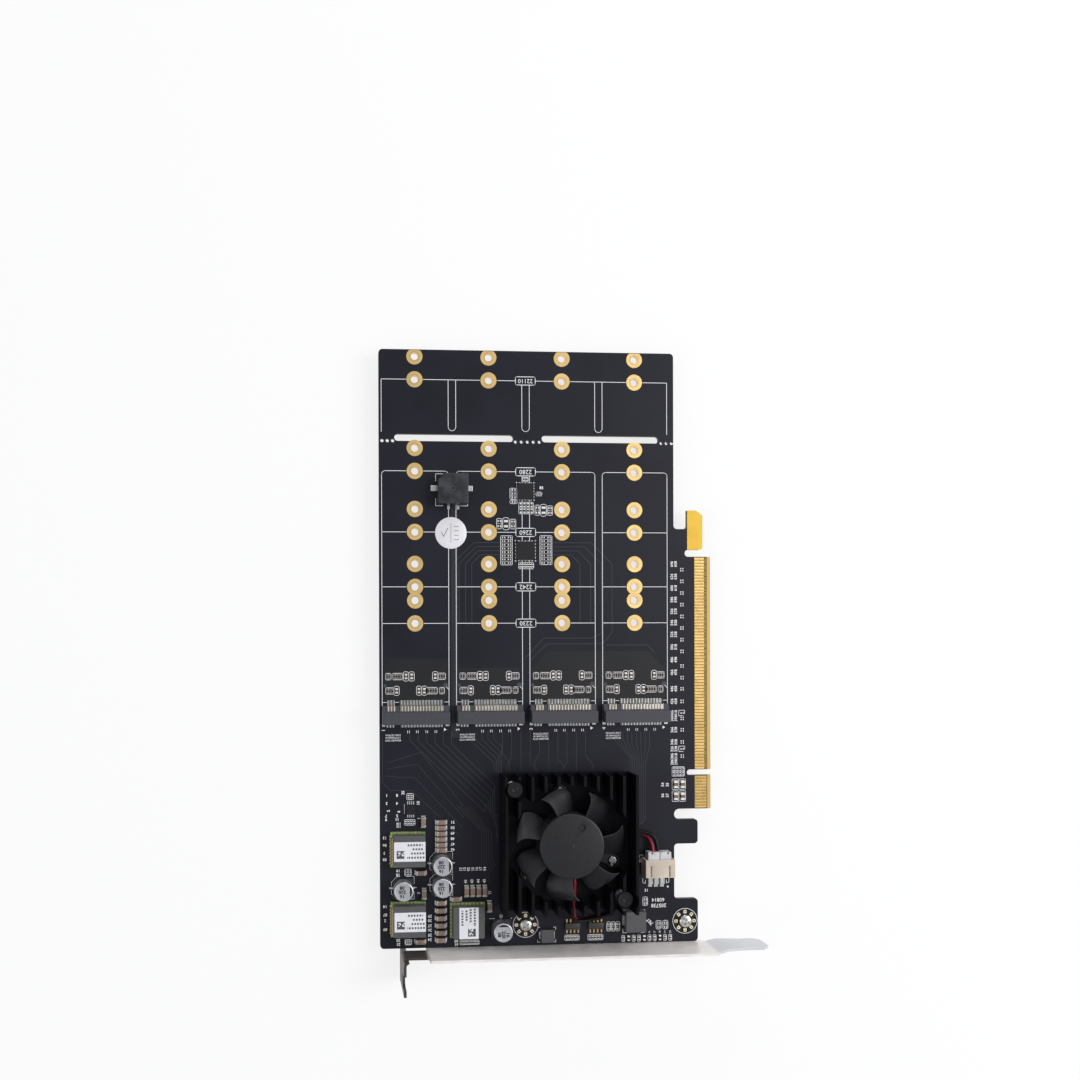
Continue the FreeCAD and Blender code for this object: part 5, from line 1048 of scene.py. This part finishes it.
# ---------------------------------------------------------------- aluminium cans
# Four surface mount electrolytic capacitors, 6.3 mm cans rolled in at the neck over a
# moulded base, with a dark printed sector over the negative side.
drawn_can = finish("drawn_aluminium", (0.60, 0.60, 0.64), 0.34, metallic=0.85, vary=0.06, scale=900.0,
                   bump=0.12, rough_vary=0.06)
black_base = finish("moulded_base", (0.022, 0.022, 0.024), 0.5, vary=0.12, scale=1000.0, bump=0.15)
can_ink = finish("can_ink", (0.012, 0.012, 0.014), 0.65, vary=0.1, specular=0.15)
CANS = ((-91.0, -28.7, 0), (-91.0, -35.75, 0), (-103.7, -36.6, 0), (-71.3, -50.6, 90))
cans, sectors, marks, legs = bmesh.new(), bmesh.new(), bmesh.new(), bmesh.new()
for k, (x, y, turn) in enumerate(CANS, 1):
    turned(cans, [(0.0, 6.52), (2.55, 6.52), (2.75, 6.575), (2.95, 6.56), (3.1, 6.43), (3.15, 6.2),
                  (3.15, 3.35), (3.05, 3.2), (2.93, 3.05),
                  (3.05, 2.9), (3.15, 2.75), (3.15, 1.9), (0.0, 1.9)], (x, y), 56)
    sector = bmesh.new()                    # a circle cut straight across
    bmesh.ops.create_circle(sector, cap_ends=True, radius=2.62 * MM, segments=48)
    bmesh.ops.bisect_plane(sector, geom=sector.verts[:] + sector.edges[:] + sector.faces[:],
                           plane_co=(1.9 * MM, 0, 0),
                           plane_no=(1, 0, 0), clear_inner=True)
    bmesh.ops.solidify(sector, geom=sector.faces[:], thickness=0.00002)
    merge_in(sectors, sector, Matrix.Translation((x * MM, y * MM, 6.535 * MM)) @
             Matrix.Rotation(math.radians(turn), 4, "Z"))
    for r in range(3):                      # plain figures stamped on the top
        print_top = bmesh.new()
        print_number(print_top, ("16", "220", "08")[r], 0, 0, 1.15, 0, 0.05)
        merge_in(marks, print_top,
                 Matrix.Translation((0, 0, (6.53 - TOP) * MM)) @ Matrix.Translation((x * MM, y * MM, 0))
                 @ Matrix.Rotation(math.radians(turn + 180), 4,
                                   "Z") @ Matrix.Translation((0.6 * MM, (1.4 - r * 1.4) * MM, 0)))
    dressed(f"capacitor_base_{k}", 0.14, black_base)
    for side in (-1, 1):
        dx, dy = (side, 0) if turn == 0 else (0, side)
        block(legs, (x + dx * 3.5 - (0.45 if dx else 0.3), y + dy * 3.5 - (0.45 if dy else 0.3), TOP + 0.01),
              (x + dx * 3.5 + (0.45 if dx else 0.3), y + dy * 3.5 + (0.45 if dy else 0.3), TOP + 0.2))
piece("can_shells", cans, drawn_can,
      replaces=[f"capacitor_can_{k}" for k in range(1, 5)], sharp=50)
piece("can_sectors", sectors, can_ink)
piece("can_figures", marks, can_ink)
piece("can_feet", legs, solder)

# ---------------------------------------------------------------- ceramic capacitors
# Two columns and a few singles of 1206 chips: a sintered brown body between two
# tinned end caps, soldered to their lands.
ceramic = finish("sintered_ceramic", (0.25, 0.17, 0.135), 0.45, vary=0.18, scale=1500.0, bump=0.2)
CHIPS = [(-91.0, y, 0) for y in (-15.2, -17.05, -18.95, -20.8, -22.6, -24.35)]
CHIPS += [(-91.2, y, 0) for y in (-41.7, -44.2, -46.7, -49.1, -51.5, -53.9)]
CHIPS += [(x, -38.1, 90) for x in (-82.7, -80.7, -78.65, -76.65)]
CHIPS += [(-75.1, -43.3, 90), (-86.2, -40.6, 0), (-97.8, -31.7, 0), (-96.75, -38.7, 90), (-96.9, -15.0, 90),
          (-98.05, -54.3, 0)]
bodies, caps, lands = bmesh.new(), bmesh.new(), bmesh.new()
for x, y, turn in CHIPS:
    spin = Matrix.Translation((x * MM, y * MM, 0)) @ Matrix.Rotation(math.radians(turn), 4, "Z")
    for bm, low, high, edge in ((bodies, -1.25, 1.25, 0.08), (caps, -1.62, -1.05, 0.12),
                                (caps, 1.05, 1.62, 0.12)):
        part = bmesh.new()
        grow = 0.03 if bm is caps else 0.0
        block(part, (low, -0.74 - grow, TOP + 0.02), (high, 0.74 + grow, TOP + 1.45 + grow))
        bmesh.ops.bevel(part, geom=part.edges[:], offset=edge * MM, offset_type="OFFSET", affect="EDGES",
                        segments=2, profile=0.5, material=-1)
        merge_in(bm, part, spin)
    for side in (-1, 1):
        block(lands, (x + side * 1.6 - 0.4, y - 0.72, TOP), (x + side * 1.6 + 0.4, y + 0.72, TOP + 0.12),
              turn, (x, y))
piece("ceramic_bodies", bodies, ceramic, replaces=("ceramic_capacitors",))
dull_tin = finish("dull_tin", (0.46, 0.44, 0.41), 0.36, metallic=0.9, vary=0.16, scale=900.0, bump=0.2,
                  rough_vary=0.1)
piece("ceramic_end_caps", caps, dull_tin)
piece("ceramic_joints", lands, solder)

# ---------------------------------------------------------------- pressed inductors
# Two coils pressed into square blocks of iron powder, the larger by the header, with
# tinned tabs folded under them.
iron_powder = finish("iron_powder", (0.078, 0.078, 0.086), 0.48, vary=0.16, scale=1500.0, bump=0.4)
dressed("power_inductor", 0.22, iron_powder)
dressed("small_inductor", 0.16, iron_powder)
bm = bmesh.new()
for x, y, half, width in ((-26.5, -49.0, 3.55, 1.6), (-55.9, -53.2, 2.3, 1.2)):
    for side in (-1, 1):
        block(bm, (x + side * half - 0.35, y - width, TOP), (x + side * half + 0.35, y + width, TOP + 0.25))
piece("inductor_tabs", bm, solder)

# ---------------------------------------------------------------- chips
# Moulded epoxy packages: clock buffer, controller, sensor and the two arrays beside
# the fan's front edge, each on its own gilt or tinned terminals.
for node in ("clock_chip", "control_chip", "sensor_chip"):
    dressed(node, 0.08, epoxy)
array_epoxy = finish("array_epoxy", (0.034, 0.033, 0.031), 0.5, vary=0.1, scale=1500.0, bump=0.2)
bodies, pins = bmesh.new(), bmesh.new()
for left in (-49.85, -42.0):
    part = bmesh.new()
    block(part, (left, -51.55, TOP + 0.05), (left + 5.0, -49.35, TOP + 1.0))
    bmesh.ops.bevel(part, geom=part.edges[:], offset=0.12 * MM, offset_type="OFFSET", affect="EDGES",
                    segments=2, profile=0.5, material=-1)
    merge_in(bodies, part)
    for k in range(4):
        for y in (-48.75, -52.15):
            block(pins, (left + 0.45 + k * 1.27, y - 0.62, TOP),
                  (left + 0.90 + k * 1.27, y + 0.62, TOP + 0.22))
piece("array_bodies", bodies, array_epoxy, replaces=("transistor_arrays",))
piece("array_terminals", pins, gilt)
pins = bmesh.new()
for k in range(4):                          # the sensor's legs, and lands round the two square chips
    for y in (-8.75, -12.95):
        block(pins, (-102.2 + k * 0.66, y - 0.55, TOP), (-101.85 + k * 0.66, y + 0.55, TOP + 0.15))
for cx, cy, half, ways in ((-62.7, 74.0, 3.05, 12), (-62.7, 93.6, 2.7, 8)):
    for k in range(ways):
        at = (k - (ways - 1) / 2) * (half * 1.7 / ways)
        for side in (-1, 1):
            block(pins, (cx + at - 0.09, cy + side * half - 0.2, TOP),
                  (cx + at + 0.09, cy + side * half + 0.2, TOP + 0.06))
            block(pins, (cx + side * half - 0.2, cy + at - 0.09, TOP),
                  (cx + side * half + 0.2, cy + at + 0.09, TOP + 0.06))
piece("chip_legs", pins, tinned)

# ---------------------------------------------------------------- sounder
# Square moulded buzzer case with one cut corner, a sound port in the lid, two tabs at
# its sides and two pins below.
case = finish("sounder_case", (0.022, 0.023, 0.030), 0.42, vary=0.45, scale=260.0, bump=0.25,
              rough_vary=0.12, contrast=0.12)
dressed("buzzer", 0.35, case, 3)
dressed("buzzer_terminals", 0.08, tinned)
bm = bmesh.new()
turned(bm, [(0.28, 4.2), (0.28, 5.70), (0.34, 5.76), (1.04, 5.76), (1.04, 4.2)], (-87.2, 93.9), 28)
piece("sounder_port", bm, case)

# ---------------------------------------------------------------- inspection sticker
# Round white paper sticker, 10.4 mm, stuck over the print below the sounder; a ruled
# line and a plain tick are printed on it.
bm = bmesh.new()
turned(bm, [(0.0, TOP + 0.13), (5.12, TOP + 0.13), (5.2, TOP + 0.09), (5.2, TOP + 0.01), (0.0, TOP + 0.01)],
       (-87.5, 79.8), 72)
sticker_paper = finish("sticker_paper", (0.80, 0.78, 0.82), 0.42, vary=0.03, scale=300.0, coat=0.15)
piece("round_sticker", bm, sticker_paper)
bm = bmesh.new()
stroke(bm, [(-87.5, 76.7), (-87.5, 82.9)], 0.14, TOP + 0.12, TOP + 0.145)
stroke(bm, [(-90.6, 80.0), (-89.9, 78.6), (-88.5, 81.4)], 0.22, TOP + 0.12, TOP + 0.145)
for k in range(4):
    stroke(bm, [(-86.5, 77.6 + k * 1.45), (-84.9, 77.6 + k * 1.45)], 0.18, TOP + 0.12, TOP + 0.145)
grey_ink = finish("grey_ink", (0.16, 0.16, 0.17), 0.6, vary=0.15, scale=900.0)
piece("sticker_marks", bm, grey_ink)

# ---------------------------------------------------------------- end bracket
# Folded 0.86 mm steel, nickel plated and brushed along its length: a broad strip with
# a screw flange, a joggled tongue and two tabs screwed under the board.
brushed = finish("brushed_nickel", (0.91, 0.85, 0.83), 0.42, metallic=0.25, vary=0.12, scale=2600.0, bump=0.5,
                 stretch=(0.10, 1, 1), rough_vary=0.12, contrast=0.25)
nodes, links = brushed.node_tree.nodes, brushed.node_tree.links
where, spot = nodes.new("ShaderNodeTexCoord"), nodes.new("ShaderNodeSeparateXYZ")
links.new(where.outputs["Object"], spot.inputs[0])
last = nodes["tint"].outputs["Result"]
# bands painted along the strip: a painted highlight low by the board, a paler tongue, and painted shade on
# the left tail
for axis, start, end, full, colour in (("Z", 0.0036, 0.0012, 0.45, (0.98, 0.96, 0.95, 1)),
                                       ("X", -0.0030, -0.0015, 0.9, (0.62, 0.63, 0.67, 1)),
                                       # painted highlight along the fold by the board, paler tongue, darker
                                       # left tail in painted shade
                                       ("X", -0.0954, -0.0968, 1.0, (0.055, 0.046, 0.042, 1))):
    ramp, tone = nodes.new("ShaderNodeMapRange"), nodes.new("ShaderNodeMix")
    ramp.inputs["From Min"].default_value, ramp.inputs["From Max"].default_value = start, end
    ramp.inputs["To Max"].default_value = full
    tone.data_type = "RGBA"
    tone.inputs["B"].default_value = colour
    links.new(spot.outputs[axis], ramp.inputs["Value"])
    links.new(ramp.outputs[0], tone.inputs["Factor"])
    links.new(last, tone.inputs["A"])
    last = tone.outputs["Result"]
links.new(last, nodes["Principled BSDF"].inputs["Base Color"])
dressed("bracket", 0.12, brushed)
bm, recesses = bmesh.new(), bmesh.new()
for x in (-63.0, -9.0):
    screw_head(bm, recesses, x, -49.7, TOP, 2.1, 1.3, 35 if x < -30 else -20)
    turned(bm, [(0.0, BACK - 1.6), (1.4, BACK - 1.6), (1.4, TOP + 0.05), (0.0, TOP + 0.05)], (x, -49.7), 24)
hollowed(piece("bracket_screw_heads", bm, plated, replaces=("bracket_screws",)),
         recesses, 0)
lands, circles, wells = bmesh.new(), bmesh.new(), bmesh.new()
for x in (-63.0, -9.0):
    for k in range(8):                       # eight small lands with a plated hole each
        spot, swing = math.radians(45 * k), Matrix.Rotation(math.radians(45 * k), 4, "Z")
        centre = (x + 3.1 * math.cos(spot), -49.7 + 3.1 * math.sin(spot))
        part = bmesh.new()
        block(part, (-0.58, -0.52, TOP - 0.01), (0.58, 0.52, TOP + 0.04))
        bmesh.ops.bevel(part, geom=[e for e in part.edges if abs(e.verts[0].co.z - e.verts[1].co.z) > 1e-6
                                    and e.verts[0].co.x > 0],
                        offset=0.38 * MM, offset_type="OFFSET", affect="EDGES", segments=4, profile=0.5,
                        material=-1)
        merge_in(lands, part, Matrix.Translation((centre[0] * MM, centre[1] * MM, 0)) @ swing)
        turned(wells, [(0.0, TOP + 0.046), (0.21, TOP + 0.046), (0.21, TOP), (0.0, TOP)],
               (centre[0] + 0.05 * math.cos(spot), centre[1] + 0.05 * math.sin(spot)), 12)
    turned(circles, [(4.10, INK_LOW), (4.24, INK_LOW), (4.24, INK_HIGH), (4.10, INK_HIGH)], (x, -49.7), 72)
land_gilt = finish("land_gilt", (0.97, 0.84, 0.58), 0.34, metallic=0.7, vary=0.05)
piece("screw_lands", lands, land_gilt)
piece("screw_land_holes", wells, plain_mask)
piece("screw_circles", circles, ink)
